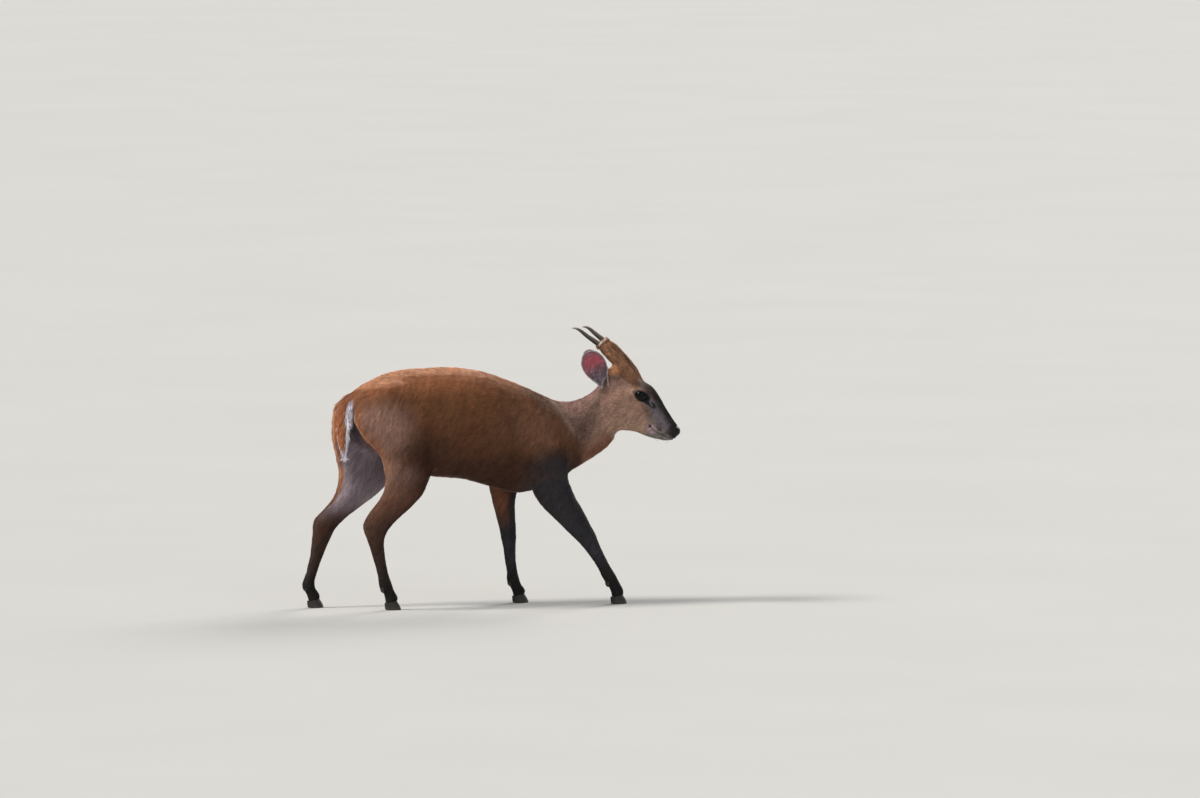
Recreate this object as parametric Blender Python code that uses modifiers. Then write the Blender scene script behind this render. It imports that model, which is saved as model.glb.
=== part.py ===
"""A life-size muntjac buck in a slow walk, as a still museum model.

Metres, +Z up. The buck faces +X, its right side is towards -Y, and its head is turned a little to the
right. The trunk, neck, head and legs are lofts through named stations. They are fused into one body,
softened where they join, and then parted into the pieces that a person would name.
"""

import math

import bmesh
import bpy
import numpy as np
from mathutils import Matrix, Vector

# Whole body
SEAM = 0.0003
VOXEL = 0.0032
RING_POINTS = 30
TAIL_POINTS = 16
SPAN_STEPS = 5

# Head: where the skull meets the neck, how far it looks down, turns right and tips to the right
HEAD_BASE = Vector((0.316, -0.030, 0.505))
HEAD_PITCH = math.radians(33.0)
HEAD_YAW = math.radians(26.0)
HEAD_ROLL = math.radians(5.0)
EYE_CENTRE = Vector((0.0710, 0.0338, 0.0605))
EYE_RADIUS = 0.0160
LID_THICKNESS = 0.0021
EYE_SLIT_LENGTH = 0.0298
EYE_SLIT_HEIGHT = 0.0192
EYE_LOOK = Vector((0.30, 0.94, 0.12)).normalized()
EYE_SLOPE = math.radians(4.0)
EYE_SEGMENTS = 20
EYE_RINGS = 12
# Place, radii, swing outwards and dip of the pits cut into each side of the face
NOSTRIL = ((0.1950, 0.0088, 0.0285), (0.0075, 0.0024, 0.0040), 0.75, 0.5)
SCENT_PIT = ((0.1010, 0.0302, 0.0555), (0.0110, 0.0048, 0.0024), -0.16, 0.05)
# The lips part between these two rows of x and z, and the core keeps them joined inside
LIP_TOP = ((0.205, 0.0085), (0.190, 0.0085), (0.172, 0.0055), (0.156, 0.0040), (0.143, 0.0048))
LIP_LOW = ((0.143, 0.0036), (0.156, 0.0026), (0.172, 0.0040), (0.190, 0.0066), (0.205, 0.0060))
MOUTH_CORE = ((0.145, 0.0, 0.005), (0.0425, 0.0125, 0.030))
# Centre and radii of the swellings that sit on the head's loft: one of each, then one on each side
MIDDLE_SWELLINGS = {
    "chin": ((0.158, 0.0, -0.005), (0.022, 0.0125, 0.0085)),
    "nose_pad": ((0.1865, 0.0, 0.0262), (0.0125, 0.0150, 0.0135)),
}
SIDE_SWELLINGS = {
    "jaw": ((0.034, 0.024, 0.004), (0.036, 0.020, 0.030)),
    "brow": ((0.066, 0.0325, 0.0580), (0.0270, 0.0165, 0.0215)),
    "scent_gland": ((0.096, 0.0180, 0.0520), (0.038, 0.0115, 0.0135)),
    "lip": ((0.168, 0.0105, 0.0200), (0.0240, 0.0110, 0.0135)),
    "temple": ((0.000, 0.0260, 0.0440), (0.030, 0.0180, 0.0240)),
    "crown": ((-0.012, 0.0330, 0.0660), (0.022, 0.0140, 0.0165)),
}
# The long haired stem under each antler: x, y, z and radius
PEDICLE = (
    (0.048, 0.021, 0.067, 0.0170),
    (0.015, 0.025, 0.084, 0.0170),
    (-0.020, 0.028, 0.096, 0.0158),
    (-0.050, 0.030, 0.104, 0.0152),
    (-0.070, 0.031, 0.1082, 0.0155),
    (-0.090, 0.0315, 0.1120, 0.0145),
)
PEDICLE_END = Vector((-0.0790, 0.0310, 0.1085))
# Locks round the foot of the antler: x along it, distance from its middle, radius
TUFT_LOCK = (
    (-0.0180, 0.0110, 0.0030),
    (-0.0080, 0.0126, 0.0036),
    (0.0010, 0.0144, 0.0026),
    (0.0060, 0.0139, 0.0018),
    (0.0100, 0.0128, 0.0006),
)
TUFT_LOCKS = 9
TUFT_SIDES = 6
ANTLER = (
    (0.0000, 0.000, 0.0000, 0.0102),
    (0.0022, 0.000, 0.0000, 0.0112),
    (0.0050, 0.000, -0.0002, 0.0098),
    (0.0090, 0.0005, -0.0006, 0.0072),
    (0.0220, 0.0015, -0.0022, 0.0064),
    (0.0400, 0.0030, -0.0040, 0.0056),
    (0.0560, 0.0035, -0.0050, 0.0046),
    (0.0680, 0.0030, -0.0072, 0.0034),
    (0.0760, 0.0015, -0.0115, 0.0022),
    (0.0800, -0.0005, -0.0160, 0.0010),
)
# Ear root and tip, and which way the cup opens, for each side
EAR_PLACES = {
    "right": (Vector((-0.018, 0.034, 0.032)), Vector((-0.093, 0.072, 0.084)), Vector((0.20, 1.0, 0.08))),
    "left": (Vector((-0.020, 0.034, 0.026)), Vector((-0.110, 0.078, 0.050)), Vector((0.30, 0.9, 0.30))),
}
EAR_THICKNESS = 0.0026
EAR_POINTS = 11
EAR_BOW = 0.010
# Share of the way up the ear, half width along the skin, half angle of its curl
EAR = (
    (0.00, 0.0250, 2.50),
    (0.14, 0.0285, 2.05),
    (0.28, 0.0325, 1.62),
    (0.42, 0.0360, 1.32),
    (0.56, 0.0370, 1.14),
    (0.70, 0.0345, 1.02),
    (0.82, 0.0290, 0.92),
    (0.92, 0.0205, 0.80),
    (0.97, 0.0135, 0.60),
    (1.00, 0.0050, 0.28),
)
# Stations run down the back: top x and z, bottom x and z, middle y, half width, height of the widest
# part from -1 at the bottom to 1 at the top
TRUNK = (
    (-0.337, 0.512, -0.333, 0.462, 0.000, 0.020, 0.0),
    (-0.322, 0.534, -0.312, 0.412, 0.000, 0.058, 0.1),
    (-0.277, 0.559, -0.245, 0.362, 0.000, 0.080, 0.1),
    (-0.218, 0.581, -0.174, 0.328, 0.000, 0.090, 0.0),
    (-0.141, 0.587, -0.108, 0.317, 0.000, 0.096, -0.1),
    (-0.064, 0.587, -0.046, 0.311, 0.000, 0.102, -0.1),
    (0.013, 0.574, 0.018, 0.293, 0.000, 0.102, -0.1),
    (0.082, 0.549, 0.077, 0.276, 0.000, 0.092, -0.05),
    (0.141, 0.524, 0.141, 0.279, 0.000, 0.079, 0.0),
    (0.187, 0.503, 0.205, 0.309, 0.000, 0.066, 0.0),
)
NECK = (
    (0.220, 0.497, 0.267, 0.344, -0.003, 0.057, 0.0),
    (0.247, 0.502, 0.317, 0.378, -0.011, 0.050, 0.0),
    (0.270, 0.514, 0.340, 0.406, -0.020, 0.046, 0.0),
)
# In the head's own frame, +X to the nose: top x and z, bottom x and z, half width, widest height
HEAD = (
    (-0.034, 0.026, 0.066, -0.072, 0.046, 0.1),
    (-0.030, 0.056, 0.070, -0.052, 0.045, 0.2),
    (0.012, 0.077, 0.085, -0.041, 0.046, 0.3),
    (0.048, 0.085, 0.105, -0.031, 0.045, 0.45),
    (0.080, 0.086, 0.124, -0.027, 0.038, 0.4),
    (0.106, 0.077, 0.141, -0.023, 0.029, 0.2),
    (0.132, 0.064, 0.157, -0.017, 0.0235, 0.0),
    (0.157, 0.052, 0.173, -0.010, 0.0205, 0.0),
    (0.178, 0.043, 0.186, -0.001, 0.0185, 0.0),
    (0.193, 0.036, 0.196, 0.009, 0.0140, 0.0),
)
# Legs from the body down: front x and z, back x and z, middle y from the midline, half width
HIND_RIGHT = (
    (-0.150, 0.530, -0.312, 0.520, 0.0340, 0.0300),
    (-0.138, 0.470, -0.334, 0.468, 0.0460, 0.0440),
    (-0.130, 0.410, -0.306, 0.420, 0.0580, 0.0440),
    (-0.130, 0.358, -0.275, 0.380, 0.0670, 0.0370),
    (-0.143, 0.325, -0.264, 0.340, 0.0710, 0.0330),
    (-0.168, 0.280, -0.263, 0.305, 0.0725, 0.0275),
    (-0.2035, 0.245, -0.277, 0.272, 0.0710, 0.0225),
    (-0.237, 0.215, -0.2985, 0.244, 0.0690, 0.0180),
    (-0.2555, 0.190, -0.3165, 0.211, 0.0660, 0.0165),
    (-0.2620, 0.168, -0.3075, 0.176, 0.0640, 0.0150),
    (-0.2610, 0.145, -0.2975, 0.150, 0.0620, 0.0132),
    (-0.2560, 0.115, -0.2870, 0.117, 0.0600, 0.0118),
    (-0.2485, 0.084, -0.2775, 0.084, 0.0590, 0.0112),
    (-0.2405, 0.062, -0.2735, 0.057, 0.0580, 0.0140),
    (-0.2345, 0.046, -0.2625, 0.040, 0.0580, 0.0128),
    (-0.2275, 0.034, -0.2590, 0.027, 0.0580, 0.0135),
    (-0.2260, 0.020, -0.2580, 0.012, 0.0580, 0.0128),
)
HIND_LEFT = (
    (-0.150, 0.5240, -0.3150, 0.5280, 0.0340, 0.0300),
    (-0.150, 0.4800, -0.3580, 0.4920, 0.0460, 0.0440),
    (-0.162, 0.410, -0.3620, 0.425, 0.0580, 0.0440),
    (-0.180, 0.350, -0.3490, 0.368, 0.0670, 0.0370),
    (-0.199, 0.315, -0.3410, 0.335, 0.0710, 0.0330),
    (-0.237, 0.277, -0.3425, 0.300, 0.0725, 0.0275),
    (-0.278, 0.248, -0.3540, 0.269, 0.0710, 0.0225),
    (-0.316, 0.222, -0.3755, 0.242, 0.0690, 0.0180),
    (-0.346, 0.194, -0.4035, 0.214, 0.0660, 0.0165),
    (-0.3625, 0.168, -0.4080, 0.180, 0.0640, 0.0150),
    (-0.3755, 0.141, -0.4120, 0.150, 0.0620, 0.0132),
    (-0.387, 0.114, -0.4175, 0.119, 0.0600, 0.0118),
    (-0.398, 0.084, -0.4265, 0.086, 0.0590, 0.0112),
    (-0.4045, 0.063, -0.4365, 0.056, 0.0580, 0.0140),
    (-0.4010, 0.047, -0.4280, 0.038, 0.0580, 0.0128),
    (-0.3930, 0.035, -0.4225, 0.026, 0.0580, 0.0135),
    (-0.3900, 0.020, -0.4200, 0.012, 0.0580, 0.0128),
)
FORE_RIGHT = (
    (0.176, 0.485, 0.085, 0.490, 0.0360, 0.0220),
    (0.200, 0.425, 0.083, 0.425, 0.0540, 0.0320),
    (0.207, 0.370, 0.092, 0.365, 0.0600, 0.0330),
    (0.206, 0.325, 0.100, 0.320, 0.0620, 0.0325),
    (0.211, 0.300, 0.112, 0.288, 0.0620, 0.0310),
    (0.2245, 0.268, 0.134, 0.252, 0.0610, 0.0275),
    (0.246, 0.232, 0.1725, 0.214, 0.0590, 0.0225),
    (0.262, 0.2045, 0.207, 0.180, 0.0570, 0.0185),
    (0.2765, 0.178, 0.233, 0.156, 0.0550, 0.0178),
    (0.289, 0.150, 0.256, 0.131, 0.0530, 0.0136),
    (0.303, 0.121, 0.2755, 0.105, 0.0510, 0.0115),
    (0.317, 0.095, 0.2910, 0.079, 0.0500, 0.0112),
    (0.331, 0.074, 0.3030, 0.057, 0.0500, 0.0140),
    (0.3395, 0.057, 0.3140, 0.043, 0.0500, 0.0128),
    (0.351, 0.036, 0.3215, 0.027, 0.0500, 0.0135),
    (0.3530, 0.020, 0.3230, 0.012, 0.0500, 0.0128),
)
FORE_LEFT = (
    (0.166, 0.485, 0.072, 0.490, 0.0360, 0.0220),
    (0.178, 0.425, 0.060, 0.425, 0.0540, 0.0320),
    (0.163, 0.370, 0.048, 0.365, 0.0600, 0.0330),
    (0.143, 0.325, 0.038, 0.325, 0.0620, 0.0325),
    (0.121, 0.290, 0.041, 0.290, 0.0620, 0.0310),
    (0.108, 0.252, 0.050, 0.252, 0.0610, 0.0275),
    (0.107, 0.216, 0.059, 0.216, 0.0590, 0.0225),
    (0.109, 0.186, 0.066, 0.186, 0.0570, 0.0185),
    (0.109, 0.162, 0.070, 0.162, 0.0550, 0.0178),
    (0.107, 0.135, 0.0755, 0.135, 0.0530, 0.0136),
    (0.107, 0.102, 0.079, 0.102, 0.0510, 0.0115),
    (0.110, 0.080, 0.083, 0.078, 0.0500, 0.0112),
    (0.1145, 0.063, 0.0830, 0.056, 0.0500, 0.0140),
    (0.119, 0.047, 0.0925, 0.038, 0.0500, 0.0128),
    (0.129, 0.034, 0.0985, 0.026, 0.0500, 0.0135),
    (0.1310, 0.020, 0.1000, 0.012, 0.0500, 0.0128),
)

TAIL = (
    (-0.3120, 0.538, -0.3000, 0.508, 0.000, 0.0150, 8),
    (-0.3310, 0.531, -0.3160, 0.506, 0.000, 0.0190, 8),
    (-0.3465, 0.516, -0.3300, 0.500, -0.003, 0.0240, 14),
    (-0.3555, 0.494, -0.3380, 0.487, -0.006, 0.0265, 20),
    (-0.3595, 0.467, -0.3425, 0.464, -0.009, 0.0275, 25),
    (-0.3595, 0.437, -0.3430, 0.436, -0.012, 0.0260, 25),
    (-0.3575, 0.407, -0.3435, 0.407, -0.014, 0.0210, 25),
    (-0.3535, 0.382, -0.3440, 0.382, -0.015, 0.0130, 25),
    (-0.3495, 0.366, -0.3455, 0.366, -0.015, 0.0050, 25),
)
# Swellings on the trunk's loft: centre and radii
BREAST = ((0.198, 0.0, 0.347), (0.036, 0.042, 0.046))
HAUNCH = ((-0.225, 0.042, 0.500), (0.082, 0.046, 0.062))
SHOULDER = ((0.118, 0.038, 0.436), (0.056, 0.043, 0.084))
UPPER_ARM = {-1: (0.150, 0.050, 0.372), 1: (0.112, 0.050, 0.372)}
UPPER_ARM_RADII = (0.050, 0.040, 0.052)
# Where the neck parts from the trunk, seen from the side
NECK_CUT = (Vector((0.262, 0, 0.338)), Vector((0.185, 0, 0.500)))
# Where the head parts from the neck, in the head's frame: throat, then crown
HEAD_CUT = (Vector((0.066, 0, -0.072)), Vector((-0.034, 0, 0.026)))
# Outlines in x and z of the blocks that part each upper leg from the trunk, and each lower from the upper
UPPER_CUTS = {
    "fore_right": (
        (0.100, -0.02), (0.094, 0.290), (0.108, 0.318), (0.212, 0.352), (0.40, 0.352), (0.40, -0.02)
    ),
    "fore_left": (
        (0.020, -0.02), (0.032, 0.296), (0.046, 0.322), (0.158, 0.345), (0.165, 0.30), (0.165, -0.02)
    ),
    "hind_right": ((-0.36, -0.02), (-0.36, 0.392), (-0.296, 0.388), (-0.126, 0.328), (-0.126, -0.02)),
    "hind_left": ((-0.52, -0.02), (-0.52, 0.388), (-0.338, 0.384), (-0.176, 0.328), (-0.160, -0.02)),
}
LOWER_CUTS = {
    "fore_right": ((0.15, 0.140), (0.33, 0.190), (0.45, -0.02), (0.15, -0.02)),
    "fore_left": ((0.00, 0.158), (0.16, 0.158), (0.22, -0.02), (0.00, -0.02)),
    "hind_right": ((-0.36, 0.190), (-0.20, 0.160), (-0.18, -0.02), (-0.36, -0.02)),
    "hind_left": ((-0.46, 0.190), (-0.30, 0.150), (-0.34, -0.02), (-0.52, -0.02)),
}
# How near the midline those blocks begin, and how far out they reach
UPPER_CUT_REACH = (0.030, 0.160)
LOWER_CUT_REACH = (0.010, 0.160)
# Foot centres on the floor: x, y and how far the toes point out
FEET = {
    "fore_right": (0.337, -0.050, -0.04),
    "fore_left": (0.115, 0.050, 0.05),
    "hind_right": (-0.242, -0.058, -0.06),
    "hind_left": (-0.4055, 0.058, 0.06),
}
# Hoof rings: height, shift forward, half length, half width
HOOF = (
    (0.0000, 0.0040, 0.0180, 0.0060),
    (0.0030, 0.0040, 0.0186, 0.0064),
    (0.0100, 0.0015, 0.0172, 0.0063),
    (0.0170, -0.0010, 0.0150, 0.0060),
    (0.0200, -0.0020, 0.0142, 0.0058),
)
HOOF_POINTS = 16
HOOF_GAP = 0.0014
CORONET_SLOPE = 0.22
CORONET_HEIGHT = 0.0200
# From its root behind the fetlock down: x, y, z and radius
DEWCLAW = (
    (0.0035, 0, 0.0045, 0.0026),
    (0.0015, 0, 0.0010, 0.0038),
    (-0.0002, 0, -0.0040, 0.0036),
    (-0.0008, 0, -0.0080, 0.0025),
    (-0.0004, 0, -0.0110, 0.0010),
)
DEWCLAW_PLACE = (0.0066, 0.0068, -0.0050)
DEWCLAW_TILT = math.radians(-24.0)
ANTLER_RISE = 0.16
# The left antler is the shorter one
ANTLER_SHARE = {"right": 1.00, "left": 0.85}
EYE_SLIT_POINTS = 20
# Shares of the triangles that stay: of the whole skin, then of all but the head
SKIN_SHARE = 0.0626
BODY_SHARE = 0.33
# How much each pass pulls the skin smooth, and how often: trunk, joins, joins on the head, head
TRUNK_PULL, TRUNK_PASSES = 0.55, 14
JOIN_PULL, JOIN_PASSES = 0.60, 90
HEAD_JOIN_PASSES = 25
HEAD_PULL, HEAD_PASSES = 0.25, 3
LEG_PULL = 0.06
NAPE_RADIUS = 0.075
# Where parts run together and the skin is softened most: place and radius
JOINS = (
    ((-0.135, -0.085, 0.350), 0.075),
    ((-0.165, 0.085, 0.350), 0.075),
    ((-0.150, -0.080, 0.520), 0.090),
    ((-0.150, 0.080, 0.520), 0.090),
    ((-0.310, -0.045, 0.515), 0.060),
    ((-0.325, 0.045, 0.515), 0.070),
    ((0.225, 0.000, 0.345), 0.060),
    ((-0.300, 0.000, 0.400), 0.100),
    ((-0.330, 0.000, 0.470), 0.060),
    ((0.090, -0.080, 0.330), 0.070),
    ((0.050, 0.080, 0.340), 0.070),
    ((0.130, -0.080, 0.480), 0.090),
    ((0.120, 0.080, 0.480), 0.090),
    ((0.195, -0.070, 0.430), 0.085),
    ((0.180, 0.070, 0.430), 0.085),
    ((-0.260, 0.085, 0.500), 0.090),
    ((-0.250, -0.085, 0.500), 0.090),
    ((0.205, -0.050, 0.400), 0.080),
    ((0.175, 0.060, 0.390), 0.080),
    ((0.170, 0.000, 0.290), 0.080),
)
# The same on the head, in its own frame and on both sides
HEAD_JOINS = (
    ((-0.005, 0.036, 0.052), 0.042),
    ((-0.014, 0.028, 0.072), 0.032),
    ((0.040, 0.036, 0.078), 0.032),
    ((0.000, 0.000, 0.080), 0.040),
    ((0.125, 0.018, 0.050), 0.035),
)
# Which station of each leg is its fetlock
LEG_ROWS = {
    "fore_right": FORE_RIGHT,
    "fore_left": FORE_LEFT,
    "hind_right": HIND_RIGHT,
    "hind_left": HIND_LEFT,
}
FETLOCK_ROW = {"fore_right": 12, "fore_left": 12, "hind_right": 13, "hind_left": 13}
LOOKS = {
    "coat": ((0.26, 0.115, 0.045), 0.85),
    "dark_coat": ((0.060, 0.035, 0.022), 0.85),
    "horn": ((0.012, 0.010, 0.009), 0.45),
    "antler": ((0.075, 0.060, 0.048), 0.50),
    "eye": ((0.006, 0.004, 0.003), 0.05),
}


def head_matrix():
    """The head's own frame: +X to the nose, +Y to its left, +Z out of the crown."""
    turn = Matrix.Rotation(-HEAD_YAW, 4, "Z") @ Matrix.Rotation(HEAD_PITCH, 4, "Y")
    return Matrix.Translation(HEAD_BASE) @ turn @ Matrix.Rotation(HEAD_ROLL, 4, "X")


HEAD_FRAME = head_matrix()


def new_object(name, points, faces, collection):
    mesh = bpy.data.meshes.new(name)
    mesh.from_pydata([tuple(p) for p in points], [], faces)
    obj = bpy.data.objects.new(name, mesh)
    collection.objects.link(obj)
    return obj


def smooth_rows(rows, steps):
    """Catmull-Rom curve through rows of numbers, with so many steps between each two."""
    rows = np.array(rows, float)
    padded = np.vstack([2 * rows[0] - rows[1], rows, 2 * rows[-1] - rows[-2]])
    out = []
    for i in range(1, len(padded) - 2):
        a, b, c, d = padded[i - 1 : i + 3]
        for t in np.arange(steps) / steps:
            slope, bend, twist = c - a, 2 * a - 5 * b + 4 * c - d, 3 * b - a - 3 * c + d
            out.append(b + 0.5 * (slope * t + bend * t**2 + twist * t**3))
    out.append(rows[-1])
    return np.array(out)


def section(top, bottom, side, half_width, widest, count):
    """A ring through top and bottom, swelling to half_width at the height called widest."""
    middle, half = (top + bottom) / 2, (top - bottom) / 2
    points = []
    for k in range(count):
        angle = 2 * math.pi * k / count
        up, out = math.cos(angle), math.sin(angle)
        height = widest + (1 - widest) * up if up > 0 else widest + (1 + widest) * up
        points.append(middle + half * height + side * half_width * out)
    return points


def loft(name, stations, collection, count=RING_POINTS):
    """A closed skin through stations of (top, bottom, half width, widest height), all Vectors and floats."""
    middles = [(top + bottom) / 2 for top, bottom, _, _ in stations]
    points, faces = [], []
    for i, (top, bottom, half_width, widest) in enumerate(stations):
        along = middles[min(i + 1, len(middles) - 1)] - middles[max(i - 1, 0)]
        side = (top - bottom).cross(along).normalized()
        points += section(top, bottom, side, half_width, widest, count)
    for i in range(len(stations) - 1):
        for k in range(count):
            j = (k + 1) % count
            faces.append((i * count + k, (i + 1) * count + k, (i + 1) * count + j, i * count + j))
    for ring, turned in ((0, False), (len(stations) - 1, True)):
        cap = [ring * count + k for k in range(count)]
        points.append(sum((points[k] for k in cap), Vector()) / count)
        for k in range(count):
            pair = (cap[k], cap[(k + 1) % count])
            faces.append((len(points) - 1, *(pair[::-1] if turned else pair)))
    obj = new_object(name, points, faces, collection)
    face_outwards(obj.data)
    return obj


def face_outwards(mesh):
    shape = bmesh.new()
    shape.from_mesh(mesh)
    bmesh.ops.recalc_face_normals(shape, faces=shape.faces)
    if shape.calc_volume(signed=True) < 0:
        bmesh.ops.reverse_faces(shape, faces=shape.faces)
    shape.to_mesh(mesh)
    shape.free()


def spine_stations():
    """Trunk, neck and head as one run of stations, so that no crease lies between them."""
    rows = [
        (x_top, y, z_top, x_low, y, z_low, half, widest)
        for x_top, z_top, x_low, z_low, y, half, widest in TRUNK + NECK
    ]
    for x_top, z_top, x_low, z_low, half, widest in HEAD:
        top = HEAD_FRAME @ Vector((x_top, 0, z_top))
        low = HEAD_FRAME @ Vector((x_low, 0, z_low))
        rows.append((*top, *low, half, widest))
    return [(Vector(r[0:3]), Vector(r[3:6]), r[6], r[7]) for r in smooth_rows(rows, SPAN_STEPS)]


def leg_stations(rows, side):
    rows = [
        (x_front, side * y, z_front, x_back, side * y, z_back, half, 0.0)
        for x_front, z_front, x_back, z_back, y, half in rows
    ]
    return [(Vector(r[0:3]), Vector(r[3:6]), r[6], r[7]) for r in smooth_rows(rows, SPAN_STEPS)]


def ellipsoid(name, centre, radii, collection, turn=None, segments=24, rings=14):
    """A sphere scaled to three radii, placed in the frame that turn gives."""
    shape = bmesh.new()
    bmesh.ops.create_uvsphere(shape, u_segments=segments, v_segments=rings, radius=1.0)
    place = (turn or Matrix.Identity(4)) @ Matrix.Translation(centre) @ Matrix.Diagonal((*radii, 1.0))
    bmesh.ops.transform(shape, matrix=place, verts=shape.verts)
    mesh = bpy.data.meshes.new(name)
    shape.to_mesh(mesh)
    shape.free()
    obj = bpy.data.objects.new(name, mesh)
    collection.objects.link(obj)
    face_outwards(mesh)
    return obj


def rod(name, path, collection, frame, count=12, steps=2):
    """A round rod through rows of (x, y, z, radius)."""
    rows = smooth_rows(path, steps)
    centres = [frame @ Vector(r[:3]) for r in rows]
    points, faces = [], []
    across = None
    for i, (centre, row) in enumerate(zip(centres, rows)):
        along = (centres[min(i + 1, len(rows) - 1)] - centres[max(i - 1, 0)]).normalized()
        across = (frame.to_3x3() @ Vector((0, 1, 0))) if across is None else across
        across = (across - along * across.dot(along)).normalized()
        other = along.cross(across)
        for k in range(count):
            angle = 2 * math.pi * k / count
            points.append(centre + (across * math.cos(angle) + other * math.sin(angle)) * row[3])
    for i in range(len(rows) - 1):
        for k in range(count):
            j = (k + 1) % count
            faces.append((i * count + k, i * count + j, (i + 1) * count + j, (i + 1) * count + k))
    faces.append(tuple(range(count))[::-1])
    faces.append(tuple((len(rows) - 1) * count + k for k in range(count)))
    obj = new_object(name, points, faces, collection)
    face_outwards(obj.data)
    return obj


def bake(obj):
    """Replaces the object's mesh with what its modifiers make of it."""
    graph = bpy.context.evaluated_depsgraph_get()
    made = bpy.data.meshes.new_from_object(obj.evaluated_get(graph))
    obj.modifiers.clear()
    old = obj.data
    obj.data = made
    bpy.data.meshes.remove(old)


def joined(name, pieces, collection):
    """One object that holds the surfaces of all the pieces, which are used up."""
    shape = bmesh.new()
    for piece in pieces:
        shape.from_mesh(piece.data)
    mesh = bpy.data.meshes.new(name)
    shape.to_mesh(mesh)
    shape.free()
    for piece in pieces:
        bpy.data.objects.remove(piece)
    obj = bpy.data.objects.new(name, mesh)
    collection.objects.link(obj)
    return obj


def boolean(obj, other, operation):
    modifier = obj.modifiers.new("cut", "BOOLEAN")
    modifier.solver = "EXACT"
    modifier.operation = operation
    modifier.object = other
    bake(obj)


def copied(obj, name):
    twin = bpy.data.objects.new(name, obj.data.copy())
    obj.users_collection[0].objects.link(twin)
    return twin


def grown(obj, name, amount):
    """A copy whose surface lies further out by the amount."""
    twin = copied(obj, name)
    shape = bmesh.new()
    shape.from_mesh(twin.data)
    shape.normal_update()
    moves = [(v, v.normal * amount * v.calc_shell_factor()) for v in shape.verts]
    for vert, move in moves:
        vert.co += move
    shape.to_mesh(twin.data)
    shape.free()
    return twin


def keep_largest(obj):
    """Drops every closed surface but the one with the most volume, and welds slivers."""
    shape = bmesh.new()
    shape.from_mesh(obj.data)
    bmesh.ops.triangulate(shape, faces=shape.faces)
    bmesh.ops.dissolve_degenerate(shape, dist=0.00002, edges=shape.edges)
    shape.verts.ensure_lookup_table()
    seen, islands = set(), []
    for start in shape.verts:
        if start in seen:
            continue
        island, queue = [], [start]
        seen.add(start)
        while queue:
            vert = queue.pop()
            island.append(vert)
            for edge in vert.link_edges:
                other = edge.other_vert(vert)
                if other not in seen:
                    seen.add(other)
                    queue.append(other)
        islands.append(island)

    def volume(island):
        faces = {face for vert in island for face in vert.link_faces}
        return sum(f.verts[0].co.dot(f.verts[1].co.cross(f.verts[2].co)) for f in faces)

    islands.sort(key=volume)
    for island in islands[:-1]:
        bmesh.ops.delete(shape, geom=island, context="VERTS")
    bmesh.ops.triangulate(shape, faces=shape.faces)
    shape.to_mesh(obj.data)
    shape.free()


def prism(name, outline, depth_from, depth_to, frame, collection):
    """A straight block: outline points in the frame's XZ plane, carried along its Y."""
    count = len(outline)
    points = [frame @ Vector((x, y, z)) for y in (depth_from, depth_to) for x, z in outline]
    faces = [tuple(range(count)), tuple(range(count, 2 * count))]
    faces += [(k, (k + 1) % count, count + (k + 1) % count, count + k) for k in range(count)]
    obj = new_object(name, points, faces, collection)
    face_outwards(obj.data)
    return obj


def part_off(body, name, block):
    """Cuts the share of the body inside the block free as its own piece, leaving a seam behind."""
    piece = copied(body, name)
    boolean(piece, block, "INTERSECT")
    keep_largest(piece)
    wider = grown(block, "wider", SEAM)
    boolean(body, wider, "DIFFERENCE")
    keep_largest(body)
    bpy.data.objects.remove(wider)
    return piece


def relax(mesh, weights, rounds):
    """Moves each point towards the mean of its neighbours, by its own weight, so many times."""
    count = len(mesh.vertices)
    points = np.empty(count * 3)
    mesh.vertices.foreach_get("co", points)
    points = points.reshape(-1, 3)
    ends = np.empty(len(mesh.edges) * 2, int)
    mesh.edges.foreach_get("vertices", ends)
    a, b = ends.reshape(-1, 2).T
    degree = np.bincount(a, minlength=count) + np.bincount(b, minlength=count)
    for _ in range(rounds):
        total = np.stack(
            [
                np.bincount(a, points[b, axis], count) + np.bincount(b, points[a, axis], count)
                for axis in range(3)
            ],
            axis=1,
        )
        points += weights[:, None] * (total / degree[:, None] - points)
    mesh.vertices.foreach_set("co", points.ravel())
    mesh.update()


def mesh_points(mesh):
    points = np.empty(len(mesh.vertices) * 3)
    mesh.vertices.foreach_get("co", points)
    return points.reshape(-1, 3)


def near(points, centre, radius):
    """1 at the centre, falling smoothly to 0 at the radius."""
    away = np.linalg.norm(points - np.array(centre), axis=1) / radius
    return np.clip(1 - away * away, 0, 1) ** 2


def head_point(x, y, z):
    return HEAD_FRAME @ Vector((x, y, z))


def mirrored(point, side):
    """The point as it stands for the left side, or its mirror image on the right."""
    return (point[0], side * point[1], point[2])


def trunk_muscles(collection):
    """Bulges that sit on the lofts: breast, haunches, shoulders and upper arms."""
    parts = [ellipsoid("breast", *BREAST, collection)]
    for side in (-1, 1):
        parts.append(ellipsoid("haunch", mirrored(HAUNCH[0], side), HAUNCH[1], collection))
        parts.append(ellipsoid("shoulder", mirrored(SHOULDER[0], side), SHOULDER[1], collection))
        centre = mirrored(UPPER_ARM[side], side)
        parts.append(ellipsoid("upper_arm", centre, UPPER_ARM_RADII, collection))
    return parts


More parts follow.
